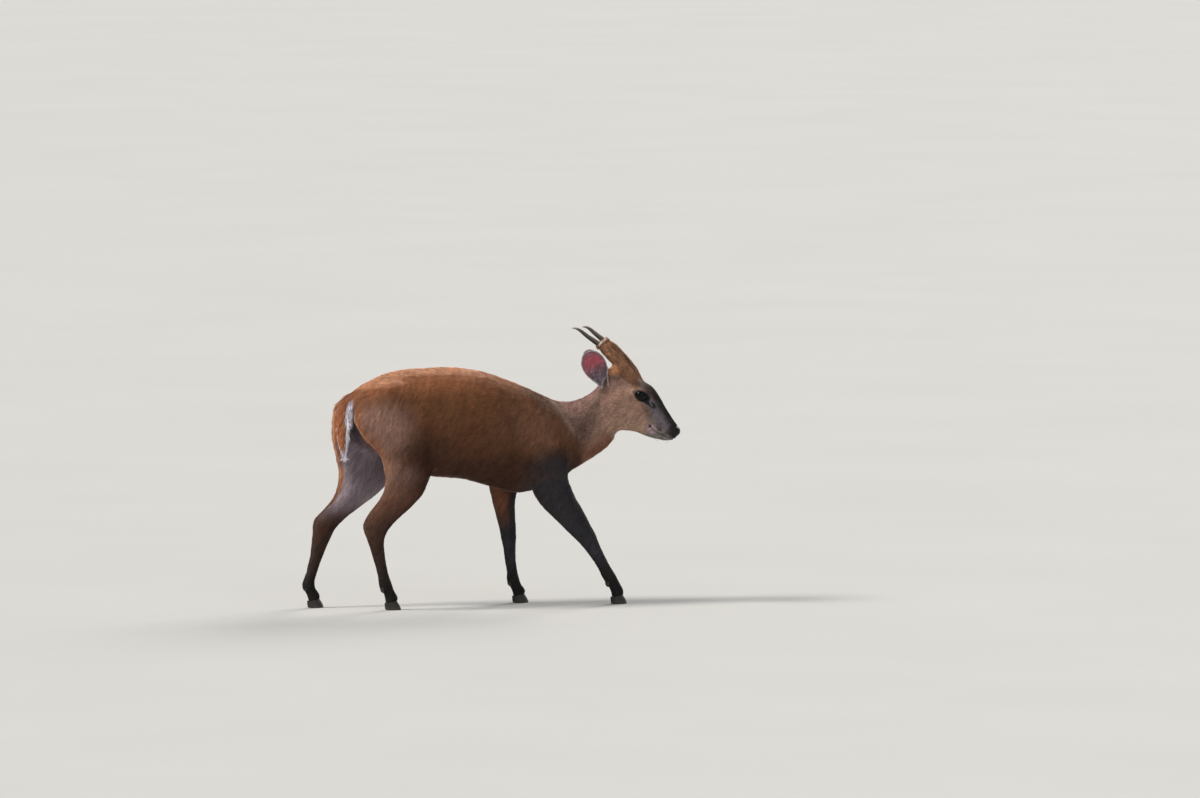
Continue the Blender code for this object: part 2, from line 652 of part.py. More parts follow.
def head_bulges(collection):
    """Chin, nose pad, jaws, brows, glands, lips and temples, and the two pedicles."""
    parts = [
        ellipsoid(name, centre, radii, collection, HEAD_FRAME)
        for name, (centre, radii) in MIDDLE_SWELLINGS.items()
    ]
    for side in (-1, 1):
        for name, (centre, radii) in SIDE_SWELLINGS.items():
            parts.append(ellipsoid(name, mirrored(centre, side), radii, collection, HEAD_FRAME))
        path = [(x, side * y, z, radius) for x, y, z, radius in PEDICLE]
        parts.append(rod("pedicle", path, collection, HEAD_FRAME))
    return parts


def body_mesh(collection):
    """Every fleshy part but the ears and the tail, as one softened skin."""
    parts = [loft("spine", spine_stations(), collection)]
    parts.append(loft("leg", leg_stations(HIND_RIGHT, -1), collection))
    parts.append(loft("leg", leg_stations(HIND_LEFT, 1), collection))
    parts.append(loft("leg", leg_stations(FORE_RIGHT, -1), collection))
    parts.append(loft("leg", leg_stations(FORE_LEFT, 1), collection))
    parts += trunk_muscles(collection) + head_bulges(collection)
    body = joined("torso", parts, collection)
    remesh = body.modifiers.new("skin", "REMESH")
    remesh.mode = "VOXEL"
    remesh.voxel_size = VOXEL
    bake(body)
    soften(body.data)
    return body


def soften(mesh):
    """Little smoothing on head and legs, more on the trunk, most where parts run together."""
    points = mesh_points(mesh)
    in_head = np.clip(3 * near(points, head_point(0.07, 0, 0.03), 0.20), 0, 1)
    leg = np.clip((0.30 - points[:, 2]) / 0.05, 0, 1)
    relax(mesh, TRUNK_PULL * (1 - in_head) * (1 - leg) + LEG_PULL, TRUNK_PASSES)
    points = mesh_points(mesh)
    joins = near(points, HEAD_BASE, NAPE_RADIUS)
    for centre, radius in JOINS:
        joins = np.maximum(joins, near(points, centre, radius))
    relax(mesh, JOIN_PULL * joins, JOIN_PASSES)
    points = mesh_points(mesh)
    joins = np.zeros(len(points))
    for centre, radius in HEAD_JOINS:
        for side in (-1, 1):
            place = head_point(*mirrored(centre, side))
            joins = np.maximum(joins, near(points, place, radius))
    relax(mesh, JOIN_PULL * joins, HEAD_JOIN_PASSES)
    relax(mesh, HEAD_PULL * in_head + LEG_PULL, HEAD_PASSES)


def thin_out(obj, share):
    modifier = obj.modifiers.new("fewer", "DECIMATE")
    modifier.ratio = share
    bake(obj)


def limb_block(foot, cuts, reach, collection):
    """The block that holds everything of one leg below its cut."""
    side = -1 if foot.endswith("right") else 1
    still = Matrix.Identity(4)
    return prism("block", cuts[foot], side * reach[0], side * reach[1], still, collection)


def facing(origin, ahead, up):
    """A frame with its origin there, +X ahead, +Z up as far as that allows, +Y to the left."""
    ahead = ahead.normalized()
    up = (up - ahead * up.dot(ahead)).normalized()
    axes = Matrix((ahead, up.cross(ahead), up)).transposed()
    return Matrix.Translation(origin) @ axes.to_4x4()


def block_ahead(frame, collection):
    """Everything ahead of the frame's YZ plane."""
    return prism("block", ((0, -0.3), (0.4, -0.3), (0.4, 0.3), (0, 0.3)), -0.3, 0.3, frame, collection)


def cut_frame(low, top):
    """A frame at the low point of a cut whose YZ plane runs through both points, +X ahead."""
    up = top - low
    return facing(low, Vector((0, 1, 0)).cross(up), up)


def foot_frame(foot):
    x, y, turn = FEET[foot]
    return Matrix.Translation((x, y, 0)) @ Matrix.Rotation(turn, 4, "Z")


def toe(name, foot, outward, collection):
    """One half of a cloven hoof: flat sole, pointed front, sloping top."""
    side = -1 if foot.endswith("right") else 1
    lateral = side * outward
    frame = foot_frame(foot)
    points, faces = [], []
    for height, shift, half_length, half_width in HOOF:
        middle = lateral * (HOOF_GAP / 2 + half_width)
        for k in range(HOOF_POINTS):
            angle = 2 * math.pi * k / HOOF_POINTS
            x, y = math.cos(angle), math.sin(angle)
            inner = y * lateral < 0
            bend = 0.10 if inner else 0.55
            y = y * half_width * (1 - bend * max(x, 0) ** 2) * (1 - 0.12 * max(-x, 0))
            y -= lateral * half_width * 0.45 * max(x, 0) ** 2
            x = shift + x * half_length
            tilt = CORONET_SLOPE * x * height / CORONET_HEIGHT
            points.append(frame @ Vector((x, middle + y, height + tilt)))
    count = HOOF_POINTS
    for i in range(len(HOOF) - 1):
        for k in range(count):
            j = (k + 1) % count
            faces.append((i * count + k, i * count + j, (i + 1) * count + j, (i + 1) * count + k))
    faces.append(tuple(range(count)))
    faces.append(tuple((len(HOOF) - 1) * count + k for k in range(count)))
    obj = new_object(name, points, faces, collection)
    face_outwards(obj.data)
    return obj


def coronet_block(foot, collection):
    """Everything under the sloping plane where the hooves begin, with a seam above them."""
    height = CORONET_HEIGHT + SEAM
    outline = [(-0.06, -0.03), (0.06, -0.03)]
    outline += [(x, height + CORONET_SLOPE * x) for x in (0.06, -0.06)]
    return prism("block", outline, -0.05, 0.05, foot_frame(foot), collection)


def eye_frame(side):
    """Origin at the eye, +X along its slit towards the nose, +Y out along its look."""
    look = Vector((EYE_LOOK.x, side * EYE_LOOK.y, EYE_LOOK.z)).normalized()
    along = Matrix.Rotation(-EYE_SLOPE, 3, "Y") @ Vector((1, 0, 0))
    along = (along - look * along.dot(look)).normalized()
    up = along.cross(look) * side
    axes = Matrix((along, look, up)).transposed()
    centre = Vector((EYE_CENTRE.x, side * EYE_CENTRE.y, EYE_CENTRE.z))
    return HEAD_FRAME @ Matrix.Translation(centre) @ axes.to_4x4()


def carve_eye(head, side, collection):
    """Lids round a ball-shaped socket, open along an almond-shaped slit."""
    frame = eye_frame(side)
    lid = EYE_RADIUS + LID_THICKNESS
    ball = ellipsoid("lid", (0, 0, 0), (lid, lid, lid * 0.97), collection, frame, 28, 16)
    boolean(head, ball, "UNION")
    outline = []
    for k in range(EYE_SLIT_POINTS):
        angle = 2 * math.pi * k / EYE_SLIT_POINTS
        x, z = math.cos(angle), math.sin(angle)
        arch = 1.12 if z > 0 else 0.88
        outline.append((EYE_SLIT_LENGTH / 2 * x, EYE_SLIT_HEIGHT / 2 * z * arch * (1 - 0.12 * x * x)))
    slit = prism("slit", outline, EYE_RADIUS * 0.40, 0.04, frame, collection)
    boolean(head, slit, "DIFFERENCE")
    room = EYE_RADIUS + SEAM
    socket = ellipsoid("socket", (0, 0, 0), (room,) * 3, collection, frame, EYE_SEGMENTS, EYE_RINGS)
    boolean(head, socket, "DIFFERENCE")
    for obj in (ball, slit, socket):
        bpy.data.objects.remove(obj)


def carve_mouth(head, collection):
    """The line between the lips, the nostrils and the scent pits in front of the eyes."""
    line = prism("line", LIP_TOP + LIP_LOW, -0.04, 0.04, HEAD_FRAME, collection)
    core = ellipsoid("core", *MOUTH_CORE, collection, HEAD_FRAME)
    boolean(line, core, "DIFFERENCE")
    boolean(head, line, "DIFFERENCE")
    bpy.data.objects.remove(line)
    bpy.data.objects.remove(core)
    for side in (-1, 1):
        for (x, y, z), radii, swing, dip in (NOSTRIL, SCENT_PIT):
            turn = HEAD_FRAME @ Matrix.Translation((x, side * y, z))
            turn = turn @ Matrix.Rotation(side * swing, 4, "Z") @ Matrix.Rotation(dip, 4, "Y")
            hole = ellipsoid("hole", (0, 0, 0), radii, collection, turn, 14, 8)
            boolean(head, hole, "DIFFERENCE")
            bpy.data.objects.remove(hole)


def ear_points(side, word, rows, across):
    """Grid points of the cupped ear sheet, with the opening turned outwards."""
    root, tip, opening = (Vector((v.x, side * v.y, v.z)) for v in EAR_PLACES[word])
    axis = tip - root
    opening = (opening - axis * opening.dot(axis) / axis.length_squared).normalized()
    beside = axis.normalized().cross(opening)
    points = []
    for share, half_width, curl in rows:
        radius = half_width / curl
        for k in range(across):
            s = 2 * k / (across - 1) - 1
            bow = EAR_BOW * math.sin(math.pi * share)
            offset = opening * (radius * (1 - math.cos(curl * s)) - 0.35 * radius - bow)
            offset += beside * radius * math.sin(curl * s)
            points.append(HEAD_FRAME @ (root + axis * share + offset))
    return points


def make_ear(side, word, head, collection):
    rows = smooth_rows(EAR, 2)
    across = EAR_POINTS
    points = ear_points(side, word, rows, across)
    faces = []
    for i in range(len(rows) - 1):
        for k in range(across - 1):
            a, b = i * across + k, i * across + k + 1
            c, d = a + across, b + across
            faces += [(a, b, d), (a, d, c)] if side > 0 else [(a, d, b), (a, c, d)]
    ear = new_object("ear_" + word, points, faces, collection)
    thick = ear.modifiers.new("thick", "SOLIDIFY")
    thick.thickness = EAR_THICKNESS
    thick.offset = 0.0
    thick.use_even_offset = True
    bake(ear)
    face_outwards(ear.data)
    around = grown(head, "around", SEAM)
    boolean(ear, around, "DIFFERENCE")
    bpy.data.objects.remove(around)
    keep_largest(ear)
    return ear


def antler_frame(side):
    """Origin at the end of the pedicle, +X along the antler, +Z up."""
    end = Vector((PEDICLE_END.x, side * PEDICLE_END.y, PEDICLE_END.z))
    along = Vector((-0.965, side * 0.05, ANTLER_RISE)).normalized()
    up = Vector((0, 0, 1))
    up = (up - along * up.dot(along)).normalized()
    out = up.cross(along)
    axes = Matrix((along, out, up)).transposed()
    return HEAD_FRAME @ Matrix.Translation(end) @ axes.to_4x4()


def make_antler(side, word, head, collection):
    """A short spike with a burr, on the flat end of its pedicle, with locks of hair round it."""
    frame = antler_frame(side)
    block = prism(
        "block", ((0, -0.03), (0.05, -0.03), (0.05, 0.03), (0, 0.03)), -0.025, 0.025, frame, collection
    )
    boolean(head, block, "DIFFERENCE")
    bpy.data.objects.remove(block)
    share = ANTLER_SHARE[word]
    path = [(x * share + SEAM, -side * y, z * share, radius) for x, y, z, radius in ANTLER]
    return rod("antler_" + word, path, collection, frame)


def add_tuft(side, head, collection):
    """Locks that spring from the end of the pedicle and lie round the burr."""
    locks = bpy.data.collections.new("locks")
    bpy.context.scene.collection.children.link(locks)
    for k in range(TUFT_LOCKS):
        turn = Matrix.Rotation(2 * math.pi * (k + 0.5) / TUFT_LOCKS, 4, "X")
        reach = 1.0 + 0.22 * math.sin(2.4 * k)
        path = [(x * reach if x > 0 else x, 0, out, radius) for x, out, radius in TUFT_LOCK]
        rod("lock", path, locks, antler_frame(side) @ turn, TUFT_SIDES, 1)
    modifier = head.modifiers.new("tuft", "BOOLEAN")
    modifier.solver = "EXACT"
    modifier.operation = "UNION"
    modifier.operand_type = "COLLECTION"
    modifier.collection = locks
    bake(head)
    for lock in list(locks.objects):
        bpy.data.objects.remove(lock)
    bpy.data.collections.remove(locks)


def make_dewclaw(name, foot, outward, leg, collection):
    """A small blunt claw behind the fetlock."""
    side = -1 if foot.endswith("right") else 1
    turn, fetlock = FEET[foot][2], LEG_ROWS[foot][FETLOCK_ROW[foot]]
    forward, apart, drop = DEWCLAW_PLACE
    frame = Matrix.Translation((fetlock[2], FEET[foot][1], fetlock[3])) @ Matrix.Rotation(turn, 4, "Z")
    frame = frame @ Matrix.Translation((forward, side * outward * apart, drop))
    frame = frame @ Matrix.Rotation(DEWCLAW_TILT, 4, "Y")
    claw = rod(name, DEWCLAW, collection, frame, 8, 1)
    around = grown(leg, "around", SEAM)
    boolean(claw, around, "DIFFERENCE")
    bpy.data.objects.remove(around)
    keep_largest(claw)
    return claw


def make_tail(torso, collection):
    """The tail hangs behind the rump, with its outer face turned a little to the right."""
    stations = []
    for x_back, z_back, x_front, z_front, y, half, turn in TAIL:
        back, front = Vector((x_back, y, z_back)), Vector((x_front, y, z_front))
        middle = (back + front) / 2
        swing = Matrix.Rotation(math.radians(turn), 3, "Z")
        back, front = middle + swing @ (back - middle), middle + swing @ (front - middle)
        stations.append((back, front, half, 0.1))
    rows = smooth_rows([(*top, *low, half, wide) for top, low, half, wide in stations], 2)
    stations = [(Vector(r[0:3]), Vector(r[3:6]), r[6], r[7]) for r in rows]
    tail = loft("tail", stations, collection, TAIL_POINTS)
    around = grown(torso, "around", SEAM)
    boolean(tail, around, "DIFFERENCE")
    bpy.data.objects.remove(around)
    keep_largest(tail)
    return tail


def finish_node(obj, kind, collection):
    """Shading, material and collection of one finished piece."""
    colour, roughness = LOOKS[kind]
    material = bpy.data.materials.new(obj.name)
    material.use_nodes = True
    shader = material.node_tree.nodes["Principled BSDF"]
    shader.inputs["Base Color"].default_value = (*colour, 1.0)
    shader.inputs["Roughness"].default_value = roughness
    obj.data.materials.clear()
    obj.data.materials.append(material)
    obj.data.polygons.foreach_set("use_smooth", [True] * len(obj.data.polygons))
    obj.data.set_sharp_from_angle(angle=math.radians(50))
    obj.data.name = obj.name
    for user in list(obj.users_collection):
        user.objects.unlink(obj)
    collection.objects.link(obj)


def stand_at_origin(objects):
    """Moves the model so that the middle of its box stands over the origin."""
    points = np.vstack([mesh_points(obj.data) for obj in objects])
    middle = (points.min(axis=0) + points.max(axis=0)) / 2
    shift = Matrix.Translation((-middle[0], -middle[1], 0))
    for obj in objects:
        obj.data.transform(shift)


def main():
    for obj in list(bpy.data.objects):
        bpy.data.objects.remove(obj)
    shop = bpy.data.collections.new("shop")
    muntjac = bpy.data.collections.new("muntjac")
    for collection in (shop, muntjac):
        bpy.context.scene.collection.children.link(collection)

    torso = body_mesh(shop)
    thin_out(torso, SKIN_SHARE)
    head = part_off(torso, "head", block_ahead(HEAD_FRAME @ cut_frame(*HEAD_CUT), shop))
    thin_out(torso, BODY_SHARE)
    nodes = {"torso": (torso, "coat")}
    neck = part_off(torso, "neck", block_ahead(cut_frame(*NECK_CUT), shop))
    nodes["neck"] = (neck, "coat")
    nodes["head"] = (head, "coat")
    for foot in FEET:
        block = limb_block(foot, UPPER_CUTS, UPPER_CUT_REACH, shop)
        upper = part_off(torso, foot + "_upper", block)
        block = limb_block(foot, LOWER_CUTS, LOWER_CUT_REACH, shop)
        lower = part_off(upper, foot + "_lower", block)
        bottom = coronet_block(foot, shop)
        boolean(lower, bottom, "DIFFERENCE")
        keep_largest(lower)
        nodes[upper.name] = (upper, "coat")
        nodes[lower.name] = (lower, "dark_coat")
        for outward, word in ((1, "outer"), (-1, "inner")):
            hoof = toe(f"{foot}_hoof_{word}", foot, outward, shop)
            nodes[hoof.name] = (hoof, "horn")
            claw = make_dewclaw(f"{foot}_dewclaw_{word}", foot, outward, lower, shop)
            nodes[claw.name] = (claw, "horn")
    for side, word in ((-1, "right"), (1, "left")):
        nodes["antler_" + word] = (make_antler(side, word, head, shop), "antler")
        add_tuft(side, head, shop)
        carve_eye(head, side, shop)
    carve_mouth(head, shop)
    keep_largest(head)
    for side, word in ((-1, "right"), (1, "left")):
        name = f"eye_{word}"
        eye = ellipsoid(
            name, (0, 0, 0), (EYE_RADIUS,) * 3, shop, eye_frame(side), EYE_SEGMENTS, EYE_RINGS
        )
        nodes[name] = (eye, "eye")
        nodes["ear_" + word] = (make_ear(side, word, head, shop), "coat")
    nodes["tail"] = (make_tail(torso, shop), "coat")
    for obj, kind in nodes.values():
        finish_node(obj, kind, muntjac)
    stand_at_origin(muntjac.objects)
    for obj in list(shop.objects):
        bpy.data.objects.remove(obj)
    bpy.data.collections.remove(shop)


if __name__ == "__main__":
    main()
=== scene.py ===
"""Looks of a life-size muntjac buck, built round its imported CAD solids.

The file is a Blender add-on that also runs as a script. One skin takes the place of the fleshy solids and
lies inside them by the depth of the coat. Tufts of hair grow from it along the lie of the coat, out to the
surface of the solids. Eyes, lids, antlers, hooves and whiskers are pieces of their own. All places below
are in the plan: metres, +X to the buck's front, +Y to its left, +Z up, floor at zero. SHIFT carries the
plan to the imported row.
"""

import math

import bmesh
import bpy
import numpy as np
from bpy.props import FloatProperty, IntProperty, PointerProperty
from bpy.types import Operator, Panel, PropertyGroup
from mathutils import Matrix, Vector
from mathutils.bvhtree import BVHTree


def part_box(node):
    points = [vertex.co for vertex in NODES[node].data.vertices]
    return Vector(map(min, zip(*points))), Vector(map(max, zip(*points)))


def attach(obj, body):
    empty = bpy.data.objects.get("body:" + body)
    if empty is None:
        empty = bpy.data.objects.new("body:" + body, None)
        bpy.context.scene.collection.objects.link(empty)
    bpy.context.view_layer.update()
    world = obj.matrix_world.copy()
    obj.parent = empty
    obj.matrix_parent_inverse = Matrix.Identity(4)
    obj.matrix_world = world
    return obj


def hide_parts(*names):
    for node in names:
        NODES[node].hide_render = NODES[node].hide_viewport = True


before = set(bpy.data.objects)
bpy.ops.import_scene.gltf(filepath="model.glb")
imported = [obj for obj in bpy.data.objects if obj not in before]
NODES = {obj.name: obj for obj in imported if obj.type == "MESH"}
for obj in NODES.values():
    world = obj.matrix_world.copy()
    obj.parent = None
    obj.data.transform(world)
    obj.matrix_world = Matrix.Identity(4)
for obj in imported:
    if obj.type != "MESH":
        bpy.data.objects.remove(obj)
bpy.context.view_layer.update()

bl_info = {
    "name": "Muntjac buck",
    "version": (1, 0, 0),
    "blender": (4, 5, 0),
    "location": "3D View > Sidebar > Muntjac",
    "description": "Builds the skin, coat, eyes, antlers and hooves of a still muntjac buck, and its studio",
    "category": "Object",
}

FEET = ("fore_right", "fore_left", "hind_right", "hind_left")
SIDES = {"right": -1, "left": 1}
UPPERS = tuple(foot + "_upper" for foot in FEET)
LOWERS = tuple(foot + "_lower" for foot in FEET)
FLESH = ("torso", "neck", "head", "tail", "ear_right", "ear_left") + UPPERS + LOWERS

# The head's own frame in the plan: +X to the nose, +Y to its left, +Z out of the crown
HEAD_BASE = Vector((0.316, -0.030, 0.505))
HEAD_PITCH = math.radians(33.0)
HEAD_YAW = math.radians(26.0)
HEAD_ROLL = math.radians(5.0)
HEAD_TURN = (
    Matrix.Rotation(-HEAD_YAW, 4, "Z")
    @ Matrix.Rotation(HEAD_PITCH, 4, "Y")
    @ Matrix.Rotation(HEAD_ROLL, 4, "X")
)
HEAD_FRAME = Matrix.Translation(HEAD_BASE) @ HEAD_TURN

EYE_CENTRE = (0.0710, 0.0338, 0.0605)
EYE_RADIUS = 0.0160
EYE_LOOK = (0.30, 0.94, 0.12)
EYE_SLOPE = math.radians(4.0)
EYE_SLIT_LENGTH = 0.0298
EYE_SLIT_HEIGHT = 0.0178
# How far the lids reach out over the face, and how many steps they have round the eye
LID_REACH = 0.0046
LID_STEPS = 72
PEDICLE_ROOT = (0.015, 0.025, 0.084)
PEDICLE_END = (-0.0790, 0.0310, 0.1085)
ANTLER_RISE = 0.16
ANTLER_SHARE = {"right": 1.00, "left": 0.85}
ANTLER = (
    (0.0000, 0.000, 0.0000, 0.0102),
    (0.0022, 0.000, 0.0000, 0.0112),
    (0.0050, 0.000, -0.0002, 0.0098),
    (0.0090, 0.0005, -0.0006, 0.0072),
    (0.0220, 0.0015, -0.0022, 0.0064),
    (0.0400, 0.0030, -0.0040, 0.0056),
    (0.0560, 0.0035, -0.0050, 0.0046),
    (0.0680, 0.0030, -0.0072, 0.0034),
    (0.0760, 0.0015, -0.0115, 0.0022),
    (0.0800, -0.0005, -0.0160, 0.0010),
)
# Ear root and tip, and which way the cup opens, in the head's frame
EARS = {
    "right": ((-0.018, 0.034, 0.032), (-0.093, 0.072, 0.084), (0.20, 1.0, 0.08)),
    "left": ((-0.020, 0.034, 0.026), (-0.110, 0.078, 0.050), (0.30, 0.9, 0.30)),
}
# The line between the lips, in x and z of the head's frame
LIPS = ((0.132, 0.0080), (0.141, 0.0046), (0.156, 0.0036), (0.172, 0.0054), (0.190, 0.0085), (0.206, 0.0082))
NOSE = (0.1945, 0.0, 0.0255)
NOSE_REACH = (0.0190, 0.0260, 0.0185)

# The tail's middle line from the tip up: height, place ahead, place to the left, and degrees turned right
TAIL_Z = (0.366, 0.407, 0.465, 0.508, 0.530)
TAIL_X = (-0.3475, -0.3505, -0.3510, -0.3382, -0.3140)
TAIL_Y = (-0.015, -0.014, -0.009, -0.003, 0.000)
TAIL_TURN = (25.0, 25.0, 25.0, 14.0, 8.0)

# The skin is remeshed in a space where the head is larger, which gives it finer cells
LENS_CENTRE = (0.045, 0.0, 0.045)
LENS_CORE = 0.150
LENS_POWER = 2.4
VOXEL = 0.0034
GROW_FLESH = 0.00035
GROW_EAR = 0.00020
WELD = 0.000002


def eye_matrix(side):
    """Origin at the eye, +X along its slit towards the nose, +Y out along its look."""
    look = Vector((EYE_LOOK[0], side * EYE_LOOK[1], EYE_LOOK[2])).normalized()
    along = Matrix.Rotation(-EYE_SLOPE, 3, "Y") @ Vector((1, 0, 0))
    along = (along - look * along.dot(look)).normalized()
    up = along.cross(look) * side
    axes = Matrix((along, look, up)).transposed()
    centre = Vector((EYE_CENTRE[0], side * EYE_CENTRE[1], EYE_CENTRE[2]))
    return HEAD_FRAME @ Matrix.Translation(centre) @ axes.to_4x4()


def antler_matrix(side):
    """Origin at the end of the pedicle, +X along the antler, +Z up."""
    end = Vector((PEDICLE_END[0], side * PEDICLE_END[1], PEDICLE_END[2]))
    along = Vector((-0.965, side * 0.05, ANTLER_RISE)).normalized()
    up = Vector((0, 0, 1))
    up = (up - along * up.dot(along)).normalized()
    axes = Matrix((along, up.cross(along), up)).transposed()
    return HEAD_FRAME @ Matrix.Translation(end) @ axes.to_4x4()


EYE_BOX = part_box("eye_right")
SHIFT = np.array((EYE_BOX[0] + EYE_BOX[1]) / 2 - eye_matrix(-1).to_translation())


# Small tools on arrays of points


def unit(vectors):
    length = np.linalg.norm(vectors, axis=-1, keepdims=True)
    return vectors / np.maximum(length, 1e-9)


def moved(points, matrix):
    matrix = np.array(matrix)
    return points @ matrix[:3, :3].T + matrix[:3, 3]


def turned(vectors, matrix):
    return np.asarray(vectors, float) @ np.array(matrix)[:3, :3].T


def ramp(low, high, values):
    """0 below low, 1 above high, with a smooth passage between them."""
    t = np.clip((values - low) / (high - low), 0, 1)
    return t * t * (3 - 2 * t)


def near(points, centre, radius):
    """1 at the centre, falling smoothly to 0 at the radius."""
    away = np.linalg.norm(points - np.array(centre), axis=1) / radius
    return np.clip(1 - away * away, 0, 1) ** 2


def from_line(points, start, end):
    """Distance of each point from the stretch between two points."""
    start, end = np.array(start, float), np.array(end, float)
    along = end - start
    share = np.clip((points - start) @ along / (along @ along), 0, 1)
    return np.linalg.norm(points - start - share[:, None] * along, axis=1)


def noise(points, size, seed=0):
    """Smooth value noise from -1 to 1 with cells of the given size, one number or three."""
    grid = points / np.array(size, float)
    cell = np.floor(grid).astype(np.int64)
    part = grid - cell
    part = part * part * (3 - 2 * part)
    total = np.zeros(len(points))
    for dx in (0, 1):
        for dy in (0, 1):
            for dz in (0, 1):
                cx, cy, cz = cell[:, 0] + dx, cell[:, 1] + dy, cell[:, 2] + dz
                key = cx * 73856093 ^ cy * 19349663 ^ cz * 83492791
                key = (key + seed * 2654435761) & 0xFFFFFFFF
                key = ((key ^ (key >> 15)) * 2246822519) & 0xFFFFFFFF
                key = ((key ^ (key >> 13)) * 3266489917) & 0xFFFFFFFF
                value = ((key ^ (key >> 16)) & 0xFFFF) / 32767.5 - 1
                weight = (part[:, 0] if dx else 1 - part[:, 0]) * (part[:, 1] if dy else 1 - part[:, 1])
                total += value * weight * (part[:, 2] if dz else 1 - part[:, 2])
    return total


def mix(base, other, share):
    return base + (np.array(other) - base) * share[:, None]


def relaxed(values, edges, weights, rounds):
    """Draws each point's values towards the mean of its neighbours, by its own weight."""
    values = np.array(values, float)
    flat = values.reshape(len(values), -1)
    count, (a, b) = len(flat), edges.T
    degree = np.maximum(np.bincount(a, minlength=count) + np.bincount(b, minlength=count), 1)
    weights = np.broadcast_to(weights, count)[:, None]
    for _ in range(rounds):
        columns = range(flat.shape[1])
        total = [np.bincount(a, flat[b, k], count) + np.bincount(b, flat[a, k], count) for k in columns]
        flat = flat + weights * (np.stack(total, axis=1) / degree[:, None] - flat)
    return flat.reshape(values.shape)


def point_normals(points, triangles):
    a, b, c = (points[triangles[:, k]] for k in range(3))
    facing = np.cross(b - a, c - a)
    count = len(points)
    total = [sum(np.bincount(triangles[:, k], way, count) for k in range(3)) for way in facing.T]
    return unit(np.stack(total, axis=1))


def smooth_rows(rows, steps):
    """Catmull-Rom curve through rows of numbers, with so many steps between each two."""
    rows = np.array(rows, float)
    padded = np.vstack([2 * rows[0] - rows[1], rows, 2 * rows[-1] - rows[-2]])
    out = []
    for i in range(1, len(padded) - 2):
        a, b, c, d = padded[i - 1 : i + 3]
        for t in np.arange(steps) / steps:
            slope, bend, twist = c - a, 2 * a - 5 * b + 4 * c - d, 3 * b - a - 3 * c + d
            out.append(b + 0.5 * (slope * t + bend * t**2 + twist * t**3))
    out.append(rows[-1])
    return np.array(out)


def mesh_of(name, points, faces):
    """A mesh in the row's frame from points of the plan and faces that all have the same count of corners."""
    faces = np.asarray(faces, np.int32)
    mesh = bpy.data.meshes.new(name)
    mesh.vertices.add(len(points))
    mesh.vertices.foreach_set("co", (points + SHIFT).astype(np.float32).ravel())
    mesh.loops.add(faces.size)
    mesh.loops.foreach_set("vertex_index", faces.ravel())
    mesh.polygons.add(len(faces))
    mesh.polygons.foreach_set("loop_start", np.arange(0, faces.size, faces.shape[1], dtype=np.int32))
    mesh.polygons.foreach_set("use_smooth", np.ones(len(faces), bool))
    mesh.update(calc_edges=True)
    return mesh


def paint(mesh, name, values):
    """Stores one colour, or one number, for each point of the mesh."""
    values = np.asarray(values, np.float32)
    if values.ndim == 1:
        mesh.attributes.new(name, "FLOAT", "POINT").data.foreach_set("value", values)
        return
    colours = np.ones((len(values), 4), np.float32)
    colours[:, :3] = values
    mesh.attributes.new(name, "FLOAT_COLOR", "POINT").data.foreach_set("color", colours.ravel())


def add_piece(name, mesh, material, replaces=()):
    """Puts a mesh into the scene as a piece that rides on the buck."""
    obj = bpy.data.objects.new(name, mesh)
    bpy.context.scene.collection.objects.link(obj)
    mesh.materials.append(material)
    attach(obj, "root")
    if replaces:
        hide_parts(*replaces)
    return obj


# The skin


def magnified(points):
    """The plan as a lens over the head would show it."""
    away = points - LENS
    r = np.linalg.norm(away, axis=1, keepdims=True)
    wider = np.where(r < LENS_CORE, LENS_POWER * r, r + (LENS_POWER - 1) * LENS_CORE)
    return LENS + away * wider / np.maximum(r, 1e-9)


def unmagnified(points):
    away = points - LENS
    r = np.linalg.norm(away, axis=1, keepdims=True)
    edge = LENS_POWER * LENS_CORE
    narrower = np.where(r < edge, r / LENS_POWER, r - (LENS_POWER - 1) * LENS_CORE)
    return LENS + away * narrower / np.maximum(r, 1e-9)


LENS = np.array(HEAD_FRAME @ Vector(LENS_CENTRE))


def fused_flesh():
    """One closed mesh round all fleshy solids, with finer cells on the head."""
    shape = bmesh.new()
    for name in FLESH:
        part = bmesh.new()
        part.from_mesh(NODES[name].data)
        bmesh.ops.remove_doubles(part, verts=part.verts, dist=WELD)
        bmesh.ops.subdivide_edges(part, edges=part.edges, cuts=1, use_grid_fill=True)
        part.normal_update()
        grow = 0.0 if name == "head" else GROW_EAR if name.startswith("ear") else GROW_FLESH
        for vert in part.verts:
            vert.co += vert.normal * grow
        passing = bpy.data.meshes.new("passing")
        part.to_mesh(passing)
        part.free()
        shape.from_mesh(passing)
        bpy.data.meshes.remove(passing)
    mesh = bpy.data.meshes.new("flesh")
    shape.to_mesh(mesh)
    shape.free()
    points = np.empty(len(mesh.vertices) * 3)
    mesh.vertices.foreach_get("co", points)
    mesh.vertices.foreach_set("co", magnified(points.reshape(-1, 3) - SHIFT).ravel())
    mesh.update()
    obj = bpy.data.objects.new("flesh", mesh)
    bpy.context.scene.collection.objects.link(obj)
    fuse = obj.modifiers.new("fuse", "REMESH")
    fuse.mode = "VOXEL"
    fuse.voxel_size = VOXEL
    fused = bpy.data.meshes.new_from_object(obj.evaluated_get(bpy.context.evaluated_depsgraph_get()))
    bpy.data.objects.remove(obj)
    bpy.data.meshes.remove(mesh)
    return fused


